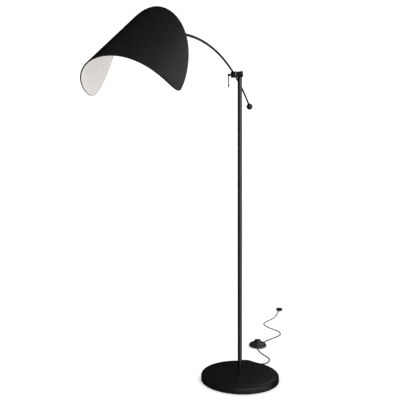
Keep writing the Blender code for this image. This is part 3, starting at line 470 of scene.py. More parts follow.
# ---- cords --------------------------------------------------------------------------------------
CORD_RADIUS = 2.3 * MM
ROUTE_TO_SWITCH = [
    (0.1665, 0.0336), (0.1745, 0.0349), (0.1828, 0.0352), (0.1930, 0.0323), (0.2004, 0.0250),
    (0.2031, 0.0150), (0.2018, 0.0035), (0.1965, -0.0075), (0.1880, -0.0200), (0.1800, -0.0320),
    (0.1758, -0.0440), (0.1785, -0.0558), (0.1880, -0.0655), (0.2005, -0.0722), (0.2134, -0.0752),
    (0.2261, -0.0758), (0.2384, -0.0745), (0.2503, -0.0711), (0.2617, -0.0654), (0.2728, -0.0581),
    (0.2837, -0.0494), (0.2947, -0.0406), (0.3061, -0.0324), (0.3180, -0.0253), (0.3303, -0.0192),
    (0.3435, -0.0136),
]
ROUTE_TO_PLUG = [
    (0.4680, -0.0164), (0.4790, -0.0188), (0.4871, -0.0218), (0.5010, -0.0276), (0.5168, -0.0361),
    (0.5396, -0.0462), (0.5591, -0.0555), (0.5786, -0.0638), (0.5981, -0.0705), (0.6168, -0.0738),
    (0.6347, -0.0732), (0.6518, -0.0688), (0.6681, -0.0605), (0.6837, -0.0488), (0.6988, -0.0346),
    (0.7139, -0.0191), (0.7291, -0.0035), (0.7456, 0.0096), (0.7629, 0.0209), (0.7815, 0.0283),
    (0.8017, 0.0318), (0.8237, 0.0298), (0.8471, 0.0242), (0.8716, 0.0164), (0.8965, 0.0085),
    (0.9212, 0.0020), (0.9458, -0.0025), (0.9702, -0.0052), (0.9949, -0.0068), (1.0196, -0.0077),
    (1.0448, -0.0082), (1.0650, -0.0084), (1.0810, -0.0085),
]


def lying(points, start_z, end_z, settle=26 * MM):
    """Gives floor points a height: down from one port to the floor, and up again to the next."""
    points = [Vector((x, y, 0)) for x, y in points]
    reach = np.concatenate([[0], np.cumsum([(b - a).length for a, b in zip(points, points[1:])])])
    laid = []
    for point, here in zip(points, reach):
        rise = 0
        for port_z, away in ((start_z, here), (end_z, reach[-1] - here)):
            share = max(0, 1 - away / settle)
            rise += (port_z - CORD_RADIUS) * share * share * (3 - 2 * share)
        laid.append((point.x, point.y, CORD_RADIUS + rise))
    return laid


def between(a, b, t, start, end):
    """The point at t on the line through a at start and b at end."""
    return ((end - t) * a + (t - start) * b) / (end - start)


def smooth_path(points, count):
    """Evenly spaced points on a smooth curve (centripetal Catmull-Rom) through the given ones."""
    points = np.array(points, float)
    chain = np.vstack([2 * points[0] - points[1], points, 2 * points[-1] - points[-2]])
    fine = []
    for p0, p1, p2, p3 in zip(chain, chain[1:], chain[2:], chain[3:]):
        t0 = 0
        t1 = t0 + math.sqrt(np.linalg.norm(p1 - p0))
        t2 = t1 + math.sqrt(np.linalg.norm(p2 - p1))
        t3 = t2 + math.sqrt(np.linalg.norm(p3 - p2))
        for t in np.linspace(t1, t2, 12, endpoint=False):
            a, b, c = between(p0, p1, t, t0, t1), between(p1, p2, t, t1, t2), between(p2, p3, t, t2, t3)
            fine.append(between(between(a, b, t, t0, t2), between(b, c, t, t1, t3), t, t1, t2))
    fine = np.array([*fine, points[-1]])
    reach = np.concatenate([[0], np.cumsum(np.linalg.norm(np.diff(fine, axis=0), axis=1))])
    wanted = np.linspace(0, reach[-1], count)
    return np.stack([np.interp(wanted, reach, fine[:, k]) for k in range(3)], axis=1)


def port_line(place, start):
    """Two points straight out of a port, 4 mm apart."""
    ends = [place @ Vector((0, 0, start + step * MM)) for step in (0, 4)]
    return [(point.x, point.y) for point in ends]


def make_cord(name, points, node):
    """A round flex on its route, as a curve of one open spline."""
    curve = bpy.data.curves.new(name, "CURVE")
    curve.dimensions = "3D"
    curve.bevel_depth = CORD_RADIUS
    curve.bevel_resolution = 5
    curve.use_fill_caps = True
    spline = curve.splines.new("POLY")
    spline.points.add(len(points) - 1)
    for point, co in zip(spline.points, points):
        point.co = (*co, 1)
    spline.use_smooth = True
    cord = bpy.data.objects.new(name, curve)
    bpy.context.scene.collection.objects.link(cord)
    return finish_piece(cord, name, "stand", FINISH["cord_pvc"], "cord_sheath", [node])


def make_cords():
    """Both lengths of flex, each with its path."""
    end_in, end_out = (port_line(port, BUSH_END + CORD_GAP) for port in (PORT_IN, PORT_OUT))
    into_plug = [(PLUG_AT.x - reach * MM - CORD_GAP, PLUG_AT.y) for reach in (24, 20)]
    floor_a = [*port_line(EXIT_FRAME, BASE_RADIUS + BASE_BUSH_REACH + CORD_GAP), *ROUTE_TO_SWITCH,
               *reversed(end_in)]
    floor_b = [*end_out, *ROUTE_TO_PLUG, *into_plug]
    path_a = smooth_path(lying(floor_a, CORD_EXIT_Z, CORD_PORT_Z), 150)
    path_b = smooth_path(lying(floor_b, CORD_PORT_Z, PLUG_AT.z), 240)
    first = make_cord("flex_base_to_switch", path_a, "cord_base_to_switch")
    second = make_cord("flex_switch_to_plug", path_b, "cord_switch_to_plug")
    return (first, path_a), (second, path_b)


# ---- base ---------------------------------------------------------------------------------------
def make_base():
    """Spun cover over the weight: a hemmed foot, a rounded top edge and the cord's hole."""
    outer = arc((13.3, 9.8), (126.7, 15.0), 0, 90, 10)
    inner = arc((12.1, 8.3), (126.4, 15.0), 90, 0, 10)
    profile = [(138.6, 1.7), (138.9, 1.1), (139.5, 1.0), (139.9, 1.3), (140, 2.0), *outer,
               (9.4, 24.8), (5.3, 24.8), (5.3, 23.3), *inner]
    cover = turned(profile, sides=176, closed=True)
    drill(cover, 4.1, 130, 146, EXIT_FRAME)
    finish_piece(cover, "spun_base_cover", "stand", FINISH["powder_coat"], "black_powder_coat",
                 ["base_cover"])

    # The strain relief: a flange against the cover, a neck in its hole, then ribs that taper out.
    out = BASE_RADIUS / MM
    ribs = [(radius, out + height) for radius, height in flex_ribs(4.1, 3.4, 2.9, 22.0, 9)]
    profile = [(2.6, out - 3.4), (4.4, out - 3.4), (4.4, out - 1.9), (3.7, out - 1.9), (3.7, out + 0.3),
               (5.0, out + 0.3), (5.3, out + 0.6), (5.3, out + 1.8), (4.9, out + 2.4), *ribs, (2.6, out + 22)]
    bush = turned(profile, EXIT_FRAME, 32, closed=True)
    finish_piece(bush, "base_strain_relief", "stand", FINISH["moulded_pvc"], "rubber", ["base_bush"])


def make_pole():
    pole_low, pole_high = (corner.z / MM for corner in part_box("pole_tube"))
    profile = [(6.8, pole_low), (7.6, pole_low), (8, pole_low + 0.4), (8, pole_high - 0.5),
               (7.5, pole_high), (6.8, pole_high)]
    pole = turned(profile, sides=72, closed=True)
    grub = pointing((0, 0, 1075 * MM), (1, 0, 0))
    drill(pole, 2.3, 4, 12, grub)
    finish_piece(pole, "drawn_pole_tube", "stand", FINISH["pole_lacquer"], "black_steel", ["pole_tube"])

    screw = turned([(0, 5.8), (1.7, 5.8), (2.0, 6.1), (2.0, 7.6), (1.7, 7.9), (0, 7.9)], grub, 32)
    drill(screw, 1.15, 6.7, 9, grub, 6)
    finish_piece(screw, "swivel_set_screw", "stand", FINISH["black_oxide"], "zinc_steel",
                 ["swivel_grub_screw"])


# ---- head ---------------------------------------------------------------------------------------
def make_head():
    """The tee on the pole, the hub with the arm's bore, the cap with its screw, and the clamp."""
    top = PIVOT.z / MM
    barrel = turned([(5.4, -4.2), (9.5, -4.2), (10, -3.7), (10, 12.3), (9.5, 12.8), (5.4, 12.8)],
                    BARREL_FRAME, 64, closed=True)
    neck = turned([(7.7, top - 12.3), (8, top - 12.0), (8, top - 11.5), (7.6, top - 11.2),
                   (5.4, top - 11.0), (4.5, top - 10.4), (4.1, top - 9.4), (4.1, top - 6.9)], sides=64)
    combine(barrel, neck, "UNION")
    finish_piece(barrel, "swivel_tee", "head", FINISH["powder_coat"], "black_powder_coat", ["head_tee"])

    hub = turned([(0, 21), (3.85, 21), (3.85, 31.5), (4.3, 32), (9.9, 32), (10.8, 31.6), (11.2, 30.6),
                  (11.2, 28.9), (10.9, 28.6), (10.9, 28.1), (11.2, 27.8), (11.2, 15.6), (10.8, 14.5),
                  (9.9, 14), (5, 14), (5, -4.5), (0, -4.5)], BARREL_FRAME, 64)
    drill(hub, 3.75, -20, 20, pointing(on_arm(HUB_ANGLE), arm_direction(HUB_ANGLE)))
    finish_piece(hub, "arm_hub_body", "hub", FINISH["powder_coat"], "black_powder_coat", ["arm_hub"])

    cap = turned([(1.9, -4.8), (10.5, -4.8), (11, -5.3), (11, -9.6), (10.7, -10.5), (9.8, -11),
                  (7.0, -11), (6.7, -10.7), (4.3, -10.7), (2.1, -8.5), (1.9, -8.5)],
                 BARREL_FRAME, 64, closed=True)
    finish_piece(cap, "flanged_end_cap", "hub", FINISH["powder_coat"], "black_powder_coat",
                 ["barrel_end_cap"])
    screw = turned([(0, 5.5), (1.6, 5.5), (1.6, -8.6), (3.75, -10.5), (3.6, -10.75), (0, -10.75)],
                   BARREL_FRAME, 40)
    drill(screw, 1.5, -13, -9.2, BARREL_FRAME, 6)
    finish_piece(screw, "countersunk_cap_screw", "hub", FINISH["black_oxide"], "black_steel",
                 ["end_cap_screw"])

    clamp = turned([(0, 25.5), (2.8, 25.5), (3.4, 26.2), (3.4, 31.9), (4, 32.5), (4, 35.4), (3.6, 35.8),
                    (3.6, 36.6), (4, 37), (4, 43.8), (3.7, 44.5), (3.1, 44.9), (0, 45)], BARREL_FRAME, 40)
    drill(clamp, 2.2, -9, 2.9, LEVER_FRAME)
    finish_piece(clamp, "clamp_screw_stub", "clamp", FINISH["black_oxide"], "black_steel",
                 ["clamp_screw"])
    lever = turned([(0, -39.5), (2, -39.5), (2, 1.8), (1.8, 2.3), (1.1, 2.6), (0, 2.6)],
                   LEVER_FRAME, 32)
    finish_piece(lever, "clamp_lever_rod", "clamp", FINISH["nickel"], "zinc_steel", ["clamp_lever"])
    tip = turned([(0, -39.7), (2.15, -39.7), (2.15, -37.2), (2.4, -37), (2.7, -37.1), (2.9, -37.4),
                  (2.9, -41.4), (2.6, -42.4), (1.6, -42.95), (0, -43)], LEVER_FRAME, 32)
    finish_piece(tip, "clamp_lever_tip", "clamp", FINISH["abs_polished"], "black_plastic", ["lever_tip"])


# ---- arm ----------------------------------------------------------------------------------------
def make_arm():
    """One round tube spun along the arm's arc, and the ball on its tail."""
    bpy.ops.object.select_all(action="DESELECT")
    tail = pointing(on_arm(ARM_TAIL), arm_direction(ARM_TAIL))
    bpy.ops.mesh.primitive_circle_add(vertices=28, radius=ARM_RADIUS, fill_type="NGON",
                                      location=tail.translation, rotation=tail.to_euler())
    tube = bpy.context.object
    bpy.ops.object.transform_apply(location=True, rotation=True, scale=True)
    bpy.ops.object.mode_set(mode="EDIT")
    bpy.ops.mesh.select_all(action="SELECT")
    bpy.ops.mesh.spin(steps=110, angle=ARM_FRONT - ARM_TAIL, center=ARM_CENTRE, axis=(0, 1, 0))
    bpy.ops.mesh.select_all(action="SELECT")
    bpy.ops.mesh.normals_make_consistent(inside=False)
    bpy.ops.object.mode_set(mode="OBJECT")
    finish_piece(tube, "bent_arm_tube", "arm", FINISH["arm_lacquer"], "black_steel", ["arm_tube"])

    ball = turned([(3.6, 9), (3.6, 12.2), (4.1, 12.5), (4.7, 12.1), *arc((13, 13), (0, 0), 66, -84, 24)[1:],
                   (0, -13)], tail, 64)
    set_screw = tail @ Matrix.Rotation(math.radians(-90), 4, "X")
    drill(ball, 1.6, 9, 15, set_screw, 24)
    finish_piece(ball, "tail_ball", "arm", FINISH["dipped_lacquer"], "black_powder_coat", ["arm_ball"])


def make_knuckle():
    """The half-lap joint: two eyes face to face on one screw, a sleeve on the arm's side."""
    arm_half = turned([(3.6, -19), (3.6, -22.7), (4.0, -23), (5.7, -23), (6.3, -22.6), (6.5, -21.8),
                       (6.5, -19.6), (6.2, -19.3), (6.2, -18.7), (6.5, -18.4), (6.5, -9.6),
                       (6.1, -8.2), (5.0, -7.6)], KNUCKLE_FRAME @ ALONG_X, 56)
    eye = [(2.15, 0.15), (6.5, 0.15), (7, 0.55), (7, 4.2), (6.5, 4.7), (2.15, 4.7)]
    combine(arm_half, turned(eye, KNUCKLE_FRAME @ ALONG_Y, 56, closed=True), "UNION")
    neck = block((-9, 0.15, -3.6), (-4.6, 4.5, 3.6), KNUCKLE_FRAME)
    soften(neck, 0.5 * MM)
    combine(arm_half, neck, "UNION")
    finish_piece(arm_half, "knuckle_arm_fork", "arm", FINISH["powder_coat"], "black_powder_coat",
                 ["knuckle_arm_half"])

    lamp_half = turned([(4.4, 7.6), (5, 8.3), (5, 16)], LAMP_AXIS, 56)
    back = [(radius, -height) for radius, height in reversed(eye)]
    combine(lamp_half, turned(back, LAMP_FRAME @ ALONG_Y, 56, closed=True), "UNION")
    neck = block((4.6, -4.5, -3.6), (9, -0.15, 3.6), LAMP_FRAME)
    soften(neck, 0.5 * MM)
    combine(lamp_half, neck, "UNION")
    finish_piece(lamp_half, "knuckle_lamp_fork", "lamp", FINISH["powder_coat"], "black_powder_coat",
                 ["knuckle_lamp_half"])

    axis = KNUCKLE_FRAME @ ALONG_Y
    screw = turned([(0, -9.2), (1.5, -9.2), (1.9, -8.8), (1.9, 5), (3.4, 5), (3.4, 7.2), (3.0, 7.8),
                    (2.4, 8), (0, 8)], axis, 40)
    drill(screw, 1.45, 6.2, 10, axis, 6)
    finish_piece(screw, "knuckle_cap_screw", "arm", FINISH["zinc"], "zinc_steel", ["knuckle_screw"])
    nut = hex_nut(7, 2.15, -8.2, -5.0, axis)
    finish_piece(nut, "knuckle_hex_nut", "arm", FINISH["zinc"], "zinc_steel", ["knuckle_nut"])


def hex_nut(flats, bore, low, high, place):
    """A hexagon nut with both faces chamfered and a countersunk bore, in mm."""
    corner = flats / math.sqrt(3)
    nut = turned([(corner, low), (corner, high)], place, 6)
    chamfer = turned([(corner * 0.84, low - 0.01), (corner * 1.02, low + 0.55),
                      (corner * 1.02, high - 0.55), (corner * 0.84, high + 0.01)], place, 48)
    combine(nut, chamfer, "INTERSECT")
    hole = turned([(bore + 0.35, low - 0.2), (bore, low + 0.35), (bore, high - 0.35),
                   (bore + 0.35, high + 0.2)], place, 32)
    combine(nut, hole, "DIFFERENCE")
    return nut


# ---- lampholder and bulb ------------------------------------------------------------------------
def make_lampholder():
    """Moulded holder: domed rear, grooved barrel, screw thread for the ring, and the open mouth."""
    thread = []
    for i in range(6):
        at = 50.2 - 1.5 * i
        thread += [(13.7, at), (13.7, at - 0.45), (13.05, at - 0.8), (13.05, at - 1.15)]
    grooves = []
    for i in range(4):
        at = 31.4 - 2.2 * i
        grooves += [(15.5, at), (15.1, at - 0.3), (15.1, at - 0.8), (15.5, at - 1.1)]
    profile = [(7.6, 50.7), (7.9, 51), (13.0, 51), *thread, (13.7, 41.4), (13.7, 33), (15.1, 33),
               (15.5, 32.6), *grooves, (15.5, 22), (15.1, 20.8), (11.6, 16), (10.7, 14.8),
               (9.7, 13.4), (8.9, 12.2), (8.4, 12), (5.6, 12), (5.3, 12.3), (5.3, 18), (11.7, 22),
               (11.7, 47), (7.6, 47)]
    body = turned(profile, LAMP_AXIS, 64, closed=True)
    finish_piece(body, "moulded_lampholder", "lamp", FINISH["phenolic"], "black_plastic",
                 ["lampholder_body"], crease=40)

    ring = turned([(14, 35.2), (17.6, 35.2), (18, 35.6), (18, 40.5), (17.6, 41), (14.4, 41),
                   (14, 40.6)], LAMP_AXIS, 72, closed=True)
    upright = LAMP_AXIS.inverted()

    def in_a_groove(face):
        middle = upright @ face.center
        turn = math.degrees(math.atan2(middle.y, middle.x)) % 10
        return math.hypot(middle.x, middle.y) > 17.9 * MM and turn < 5

    pick(ring, "FACE", in_a_groove)
    bpy.ops.mesh.inset(thickness=0.35 * MM, depth=-0.5 * MM)
    bpy.ops.object.mode_set(mode="OBJECT")
    finish_piece(ring, "knurled_shade_ring", "lamp", FINISH["phenolic"], "black_plastic", ["shade_ring"])

    shell = turned([(7.05, 30), (7.3, 30), (7.3, 49), (7.05, 49)], LAMP_AXIS, 48, closed=True)
    finish_piece(shell, "holder_screw_shell", "lamp", FINISH["brass"], "brass", ["holder_contact_shell"])
    turns = []
    for i in range(6):
        at = 36.5 + 2.8 * i
        turns += [(6.2, at), (6.6, at + 0.9), (6.6, at + 1.5), (6.2, at + 2.4)]
    cap = turned([(0, 29), (1.6, 29), (2.2, 29.8), (3.4, 31), (6.2, 34), *turns, (6.4, 54), (0, 54)],
                 LAMP_AXIS, 48)
    finish_piece(cap, "bulb_screw_cap", "lamp", FINISH["nickel"], "zinc_steel", ["bulb_cap"], crease=50)

    sphere = [(radius, 83 + height) for radius, height in arc((22.5, 22.5), (0, 0), -58, 86, 26)]
    globe = turned([(0, 54.3), (7.6, 54.3), (8, 54.7), (8, 58.4), (8.4, 60.7), (9.6, 62.7), *sphere,
                    (0, 105.5)], LAMP_AXIS, 72)
    finish_piece(globe, "opal_globe_bulb", "lamp", FINISH["opal"], "opal_bulb", ["bulb_globe"], crease=60)


def make_shade_fixing():
    """A folded strip from the lampholder's collar to two studs under the crown."""
    pivot = SHADE_FRAME.inverted() @ SHADE_PIVOT / MM
    start = pivot.x + 33.3
    disc = turned([(14, 33.3), (17.7, 33.3), (18, 33.6), (18, 34.5), (17.7, 34.8), (14, 34.8)],
                  LAMP_AXIS, 64, closed=True)
    leg = block((start, -9, pivot.z + 15), (start + 1.5, 9, -3.75), SHADE_FRAME)
    soften(leg, 0.25 * MM)
    foot = block((start + 0.05, -9, -5.2), (start + 50, 9, -3.7), SHADE_FRAME)
    upright = SHADE_FRAME.inverted()

    def at_front_corner(edge):
        ends = [upright @ foot.data.vertices[i].co / MM for i in edge.vertices]
        return min(end.x for end in ends) > start + 49 and abs(ends[0].z - ends[1].z) > 1

    pick(foot, "EDGE", at_front_corner)
    bpy.ops.mesh.bevel(offset=6 * MM, segments=8)
    bpy.ops.object.mode_set(mode="OBJECT")
    soften(foot, 0.25 * MM)
    for other in (leg, foot):
        combine(disc, other, "UNION")
    for reach in (15, 40):
        drill(disc, 2.3, -9, 9, SHADE_FRAME @ Matrix.Translation(((start + reach) * MM, 0, 0)), 24)
    finish_piece(disc, "folded_shade_bracket", "lamp", FINISH["powder_coat"], "black_powder_coat",
                 ["shade_bracket"])

    rear = SHADE_FRAME @ Matrix.Translation(((start + 15) * MM, 0, 0))
    step = Matrix.Translation(SHADE_FORWARD * 25 * MM)
    stud = turned([(0, -10.5), (1.5, -10.5), (2, -10), (2, -3.4), (2.8, -2.8), (0, -2.8)], rear, 28)
    nut = hex_nut(7, 2.15, -8.7, -5.5, rear)
    for label, stud_here, nut_here in (("front", copy_piece(stud, step), copy_piece(nut, step)),
                                       ("rear", stud, nut)):
        finish_piece(stud_here, f"welded_stud_{label}", "lamp", FINISH["zinc"], "zinc_steel",
                     [f"shade_stud_{label}"])
        finish_piece(nut_here, f"stud_nut_{label}", "lamp", FINISH["zinc"], "zinc_steel",
                     [f"shade_nut_{label}"])


# ---- shade --------------------------------------------------------------------------------------
SHADE_WALL = 2.4 * MM
SHADE_HALF_GIRTH = 150.8 * MM       # along the sheet, from the ridge to a tip
SHADE_FLARE = math.radians(85.9)    # how far the sheet has turned down at the tips
SHADE_CURL = 1.363                  # more than 1 bends the crown harder than the flaps
SHADE_FRONT = (79.9 * MM, 1.740, 1.578)    # reach of the front rim, and its two outline exponents
SHADE_BACK = (-192.1 * MM, 1.600, 1.841)


def shade_section():
    """Side and height of the bent sheet at 241 even steps along it from the ridge."""
    along = np.linspace(0, SHADE_HALF_GIRTH, 241)
    turn = SHADE_FLARE * (1 - (1 - along / SHADE_HALF_GIRTH) ** SHADE_CURL)
    middle = (turn[1:] + turn[:-1]) / 2
    side = np.concatenate([[0], np.cumsum(np.cos(middle))]) * along[1]
    height = -np.concatenate([[0], np.cumsum(np.sin(middle))]) * along[1]
    return along, side, height


def shade_rim(rim, angle):
    """Distance from the ridge and along it of the outline; angle 0 is the ridge, 90 degrees the tip."""
    reach, girth_power, reach_power = rim
    return (SHADE_HALF_GIRTH * math.sin(angle) ** (2 / girth_power),
            reach * max(math.cos(angle), 0) ** (2 / reach_power))


def make_shade():
    """One leaf-shaped sheet bent over its ridge. No operator bends a sheet without a window, so
    each point of a flat grid is moved to its place on the bent section."""
    along, side, height = shade_section()
    bpy.ops.object.select_all(action="DESELECT")
    bpy.ops.mesh.primitive_grid_add(x_subdivisions=108, y_subdivisions=30, size=2)
    shade = bpy.context.object
    for vert in shade.data.vertices:
        angle = abs(vert.co.x) * math.pi / 2
        share = (vert.co.y + 1) / 2
        front, back = shade_rim(SHADE_FRONT, angle), shade_rim(SHADE_BACK, angle)
        girth = front[0] + (back[0] - front[0]) * share
        vert.co = (front[1] + (back[1] - front[1]) * share,
                   math.copysign(np.interp(girth, along, side), vert.co.x),
                   np.interp(girth, along, height))
    bpy.ops.object.mode_set(mode="EDIT")
    bpy.ops.mesh.select_all(action="SELECT")
    bpy.ops.mesh.remove_doubles(threshold=0.2 * MM)
    bpy.ops.mesh.normals_make_consistent(inside=False)
    bpy.ops.object.mode_set(mode="OBJECT")
    crown = max(shade.data.polygons, key=lambda face: face.center.z)
    if crown.normal.z < 0:
        shade.data.flip_normals()
    apply_place(shade, SHADE_FRAME)
    shade.data.materials.append(FINISH["shade_coat"])
    shade.data.materials.append(FINISH["enamel"])
    modify(shade, "SOLIDIFY", thickness=SHADE_WALL, offset=-1, material_offset=1,
           material_offset_rim=0, use_even_offset=True)
    modify(shade, "BEVEL", width=0.45 * MM, segments=2, limit_method="ANGLE",
           angle_limit=math.radians(55), material=-1)
    shade.name = shade.data.name = "bent_sheet_shade"
    only(shade)
    bpy.ops.object.shade_smooth_by_angle(angle=math.radians(50))
    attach(shade, "lamp")
    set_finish(shade, "shade_sheet")
    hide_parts("lamp_shade")


# ---- foot switch --------------------------------------------------------------------------------
def make_switch():
    """Two moulded shells with a seam, a round push button, and two ribbed reliefs."""
    dome = [(15.7 + 22.6 * math.sin(a), 8.9 + 11.6 * math.cos(a) ** 1.3)
            for a in (math.pi / 2 * i / 16 for i in range(17))]
    lining = [(radius - 0.9, height - 1.8) for radius, height in dome if 16.8 < radius < 35]
    profile = [(15.7, 20.1), (15.9, 20.6), (16.4, 20.8), (16.9, 20.6),
               *[point for point in dome if point[0] > 17.2], (38.3, 8.9), (37.9, 8.3), (36.5, 8.3),
               *reversed(lining), (15.7, 18.7)]
    cover = turned(profile, SWITCH_FRAME, 96, closed=True)
    profile = [(36.5, 8.0), (37.9, 8.0), (38.3, 7.5), (38.2, 6.7), (37.6, 5.8), (31.6, 1.7), (30.3, 1.2),
               (27.2, 1.2), (26.6, 1.8), (19.4, 1.8), (18.8, 1.2), (0, 1.2)]
    floor = [(0, 3.0), (29.3, 3.0), (36.5, 7.0)]
    tray = turned([*reversed(profile), *reversed(floor)], SWITCH_FRAME, 96)
    for port in (PORT_IN, PORT_OUT):
        for shell in (cover, tray):
            drill(shell, 4.0, 22, 50, port)
    pieces = [
        finish_piece(cover, "switch_top_shell", "stand", FINISH["abs"], "black_plastic", ["switch_cover"]),
        finish_piece(tray, "switch_bottom_shell", "stand", FINISH["abs"], "black_plastic", ["switch_tray"])]

    button = turned([(12.5, 16.7), (16.9, 16.7), (17.3, 17.1), (17.3, 17.7), (16.9, 18.1), (14.5, 18.1),
                     (14.5, 28.7), (14.3, 29.4), (13.7, 29.9), (12.1, 30.0), (11.8, 29.7), (11.0, 29.7),
                     (10.7, 30.05), (8.2, 30.1), (7.9, 29.8), (7.1, 29.8), (6.8, 30.15), (0, 30.2)],
                    SWITCH_FRAME, 72)
    pieces.append(finish_piece(button, "switch_push_button", "button", FINISH["abs_polished"],
                               "black_plastic", ["switch_button"]))
    for name, node, port in (("switch_relief_in", "switch_bush_in", PORT_IN),
                             ("switch_relief_out", "switch_bush_out", PORT_OUT)):
        profile = [(2.6, 28.8), (3.2, 28.8), (3.6, 32.1), (3.7, 37.6), (4.6, 37.9), (4.8, 38.4),
                   (4.6, 39.2), *flex_ribs(3.9, 3.3, 39.4, 48.8, 5), (2.6, 48.8)]
        relief = turned(profile, port, 32, closed=True)
        pieces.append(finish_piece(relief, name, "stand", FINISH["moulded_pvc"], "rubber", [node]))
    return pieces


# ---- plug ---------------------------------------------------------------------------------------
def make_plug():
    """A flat two-pin plug: a body drawn out in stations, finger grooves, a relief and two pins."""
    place = Matrix.Translation(PLUG_AT)
    stations = [(0, 6.2, 5.2), (3, 7.4, 5.9), (8, 9.6, 6.4), (14, 12.6, 6.6), (19, 15.6, 6.6),
                (23, 16.8, 6.6), (33.2, 17, 6.6), (34.8, 16.4, 6.1), (35.5, 15.4, 5.2)]
    bpy.ops.object.select_all(action="DESELECT")
    bpy.ops.mesh.primitive_plane_add(size=2, rotation=(0, math.radians(90), 0))
    body = bpy.context.object
    bpy.ops.object.transform_apply(location=True, rotation=True, scale=True)
    bpy.ops.object.mode_set(mode="EDIT")
    bpy.ops.mesh.select_mode(type="FACE")
    bpy.ops.mesh.select_all(action="SELECT")
    bpy.ops.transform.resize(value=(1, stations[0][1] * MM, stations[0][2] * MM), center_override=(0, 0, 0))
    for here, last in zip(stations[1:], stations):
        bpy.ops.mesh.extrude_region_move(TRANSFORM_OT_translate={"value": ((here[0] - last[0]) * MM, 0, 0)})
        bpy.ops.transform.resize(value=(1, here[1] / last[1], here[2] / last[2]),
                                 center_override=(here[0] * MM, 0, 0))
    bpy.ops.mesh.select_all(action="SELECT")
    bpy.ops.mesh.normals_make_consistent(inside=False)
    bpy.ops.object.mode_set(mode="OBJECT")
    apply_place(body, place)
    soften(body, 2.2 * MM, 5, 40)
    for at in (9, 12.5, 16):
        for side in (-1, 1):
            groove = place @ Matrix.Translation((at * MM, 0, side * 7.0 * MM)) @ ALONG_Y
            drill(body, 0.9, -7.5, 7.5, groove, 20)
    pieces = [finish_piece(body, "moulded_plug_body", "stand", FINISH["moulded_pvc"], "black_plastic",
                           ["plug_body"])]
    profile = [(2.6, -0.3), (5.0, -0.3), *flex_ribs(4.9, 3.3, -0.6, -20, 8), (2.6, -20)]
    relief = turned(profile, place @ ALONG_X, 32, closed=True)
    pieces.append(finish_piece(relief, "plug_strain_relief", "stand", FINISH["moulded_pvc"], "rubber",
                               ["plug_relief"]))
    pin_side = 9.5 * MM
    pin_place = place @ Matrix.Translation((35.8 * MM, pin_side, 0)) @ ALONG_X
    pin = turned([(0, 9.4), (1.95, 9.4), (1.95, 17.6), (1.7, 18.4), (1.1, 18.9), (0, 19)], pin_place, 32)
    sleeve = turned([(0, 0), (2, 0), (2, 9.2), (1.8, 9.5), (0, 9.5)], pin_place, 32)
    across = Matrix.Translation((0, -2 * pin_side, 0))
    right_pin, right_sleeve = copy_piece(pin, across), copy_piece(sleeve, across)
    for label, metal, cover in (("left", pin, sleeve), ("right", right_pin, right_sleeve)):
        pieces.append(finish_piece(metal, f"plug_pin_{label}_tip", "stand", FINISH["pin"], "brass",
                                   [f"plug_pin_{label}"]))
        pieces.append(finish_piece(cover, f"plug_pin_{label}_sleeve", "stand", FINISH["moulded_pvc"],
                                   "black_plastic"))
    return pieces


# ---- CAD parts that stay as they are ------------------------------------------------------------
CARRIED_OVER = {
    "rubber": ["base_pad", "switch_pad"],
    "cast_iron": ["base_weight"],
    "zinc": ["pole_foot", "foot_washer", "foot_nut", "cord_grip", "switch_spring",
             "switch_screw_1", "switch_screw_2", "switch_screw_3"],
    "cord_pvc": ["cord_tail"],
    "core_pvc": ["pole_wires", "arm_wires"],
    "nylon": ["hub_washer", "switch_core"],
}


def dress_carried_over():
    for finish, names in CARRIED_OVER.items():
        for name in names:
            NODES[name].data.materials.clear()
            NODES[name].data.materials.append(FINISH[finish])
            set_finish(NODES[name], NODES[name].get("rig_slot", SLOT_OF[name]))


# ---- studio -------------------------------------------------------------------------------------
CARD_BEARINGS = (184, 286)          # degrees round the pole from +X; the camera stands at 196
CARD_GLOW = (0.24, 0.64)            # at its foot and at its head
CARD_HEIGHTS = (-1.0, 1.6)          # between which it brightens
ROOM_GLOW = 1.12


def area_light(name, location, target, size, power):
    bpy.ops.object.light_add(type="AREA", location=location)
    light = bpy.context.object
    light.name = name
    light.data.shape = "RECTANGLE"
    light.data.size, light.data.size_y = size
    light.data.energy = power
    direction = Vector(target) - Vector(location)
    light.rotation_euler = direction.to_track_quat("-Z", "Y").to_euler()


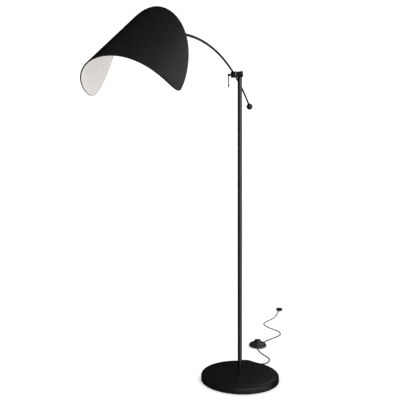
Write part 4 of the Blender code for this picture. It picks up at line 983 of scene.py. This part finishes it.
def make_card():
    """A tall curved white card on the camera's right, that only glosses see. It runs on below the
    floor, so that the foot of the pole mirrors it as its top does."""
    bpy.ops.object.select_all(action="DESELECT")
    bpy.ops.mesh.primitive_cylinder_add(vertices=72, radius=2.4, depth=3.8, end_fill_type="NOTHING",
                                        location=(0, 0, 0.7))
    card = bpy.context.object
    card.name = "reflector_card"
    bpy.ops.object.transform_apply(location=True, rotation=True, scale=True)

    def outside_the_card(face):
        bearing = math.degrees(math.atan2(face.center.y, face.center.x)) % 360
        return not CARD_BEARINGS[0] < bearing < CARD_BEARINGS[1]

    pick(card, "FACE", outside_the_card)
    bpy.ops.mesh.delete(type="FACE")
    bpy.ops.object.mode_set(mode="OBJECT")
    glow = new_finish("white_card", Emission_Color=(1, 1, 1, 1))
    place = add_node(glow, "ShaderNodeTexCoord").outputs["Object"]
    height = add_node(glow, "ShaderNodeSeparateXYZ", {"Vector": place}).outputs["Z"]
    strength = add_node(glow, "ShaderNodeMapRange", {
        "Value": height, "From Min": CARD_HEIGHTS[0], "From Max": CARD_HEIGHTS[1],
        "To Min": CARD_GLOW[0], "To Max": CARD_GLOW[1]}).outputs["Result"]
    glow.node_tree.links.new(strength, glow.node_tree.nodes["Principled BSDF"].inputs["Emission Strength"])
    glow.cycles.emission_sampling = "NONE"
    card.data.materials.append(glow)
    card.visible_camera = card.visible_diffuse = card.visible_shadow = False
    card.visible_transmission = False


def make_studio():
    """A pale floor out to the horizon, a big soft box to the camera's right and a smaller one behind.

    Neither the floor nor the room shows in a gloss, as between black flags, so that black paint
    stays black and only the soft boxes and the card draw highlights on it."""
    bpy.ops.object.select_all(action="DESELECT")
    bpy.ops.mesh.primitive_plane_add(size=160)
    floor = bpy.context.object
    floor.name = "studio_floor"
    floor.data.materials.append(grained(
        new_finish("matte_paper_floor", IOR=1.2), ("#fbfbfb", "#f8f8f8"), 4 * MM, (0.9, 1.0), 0.005 * MM))
    floor.visible_glossy = False
    bpy.context.scene.view_settings.view_transform = "Standard"
    world = bpy.data.worlds.new("studio_air")
    bpy.context.scene.world = world
    world.use_nodes = True
    air = world.node_tree.nodes["Background"]
    air.inputs["Color"].default_value = (1, 1, 1, 1)
    air.inputs["Strength"].default_value = ROOM_GLOW
    world.cycles_visibility.glossy = False
    area_light("softbox_right", (-1.7, -2.1, 1.7), (0, 0, 0.75), (2.6, 2.0), 26)
    area_light("softbox_behind", (2.2, -0.6, 2.2), (0, 0, 0.6), (1.6, 1.6), 10)
    make_card()


FINISH = make_finishes()
SLOT_OF = {row["node"]: row["material_slot"] for row in frame["record"]["subparts"]}

make_camera()
(flex_a, path_a), (flex_b, path_b) = make_cords()
make_base()
make_pole()
make_head()
make_arm()
make_knuckle()
make_lampholder()
make_shade_fixing()
make_shade()
switch_pieces = make_switch()
plug_pieces = make_plug()
dress_carried_over()
make_studio()
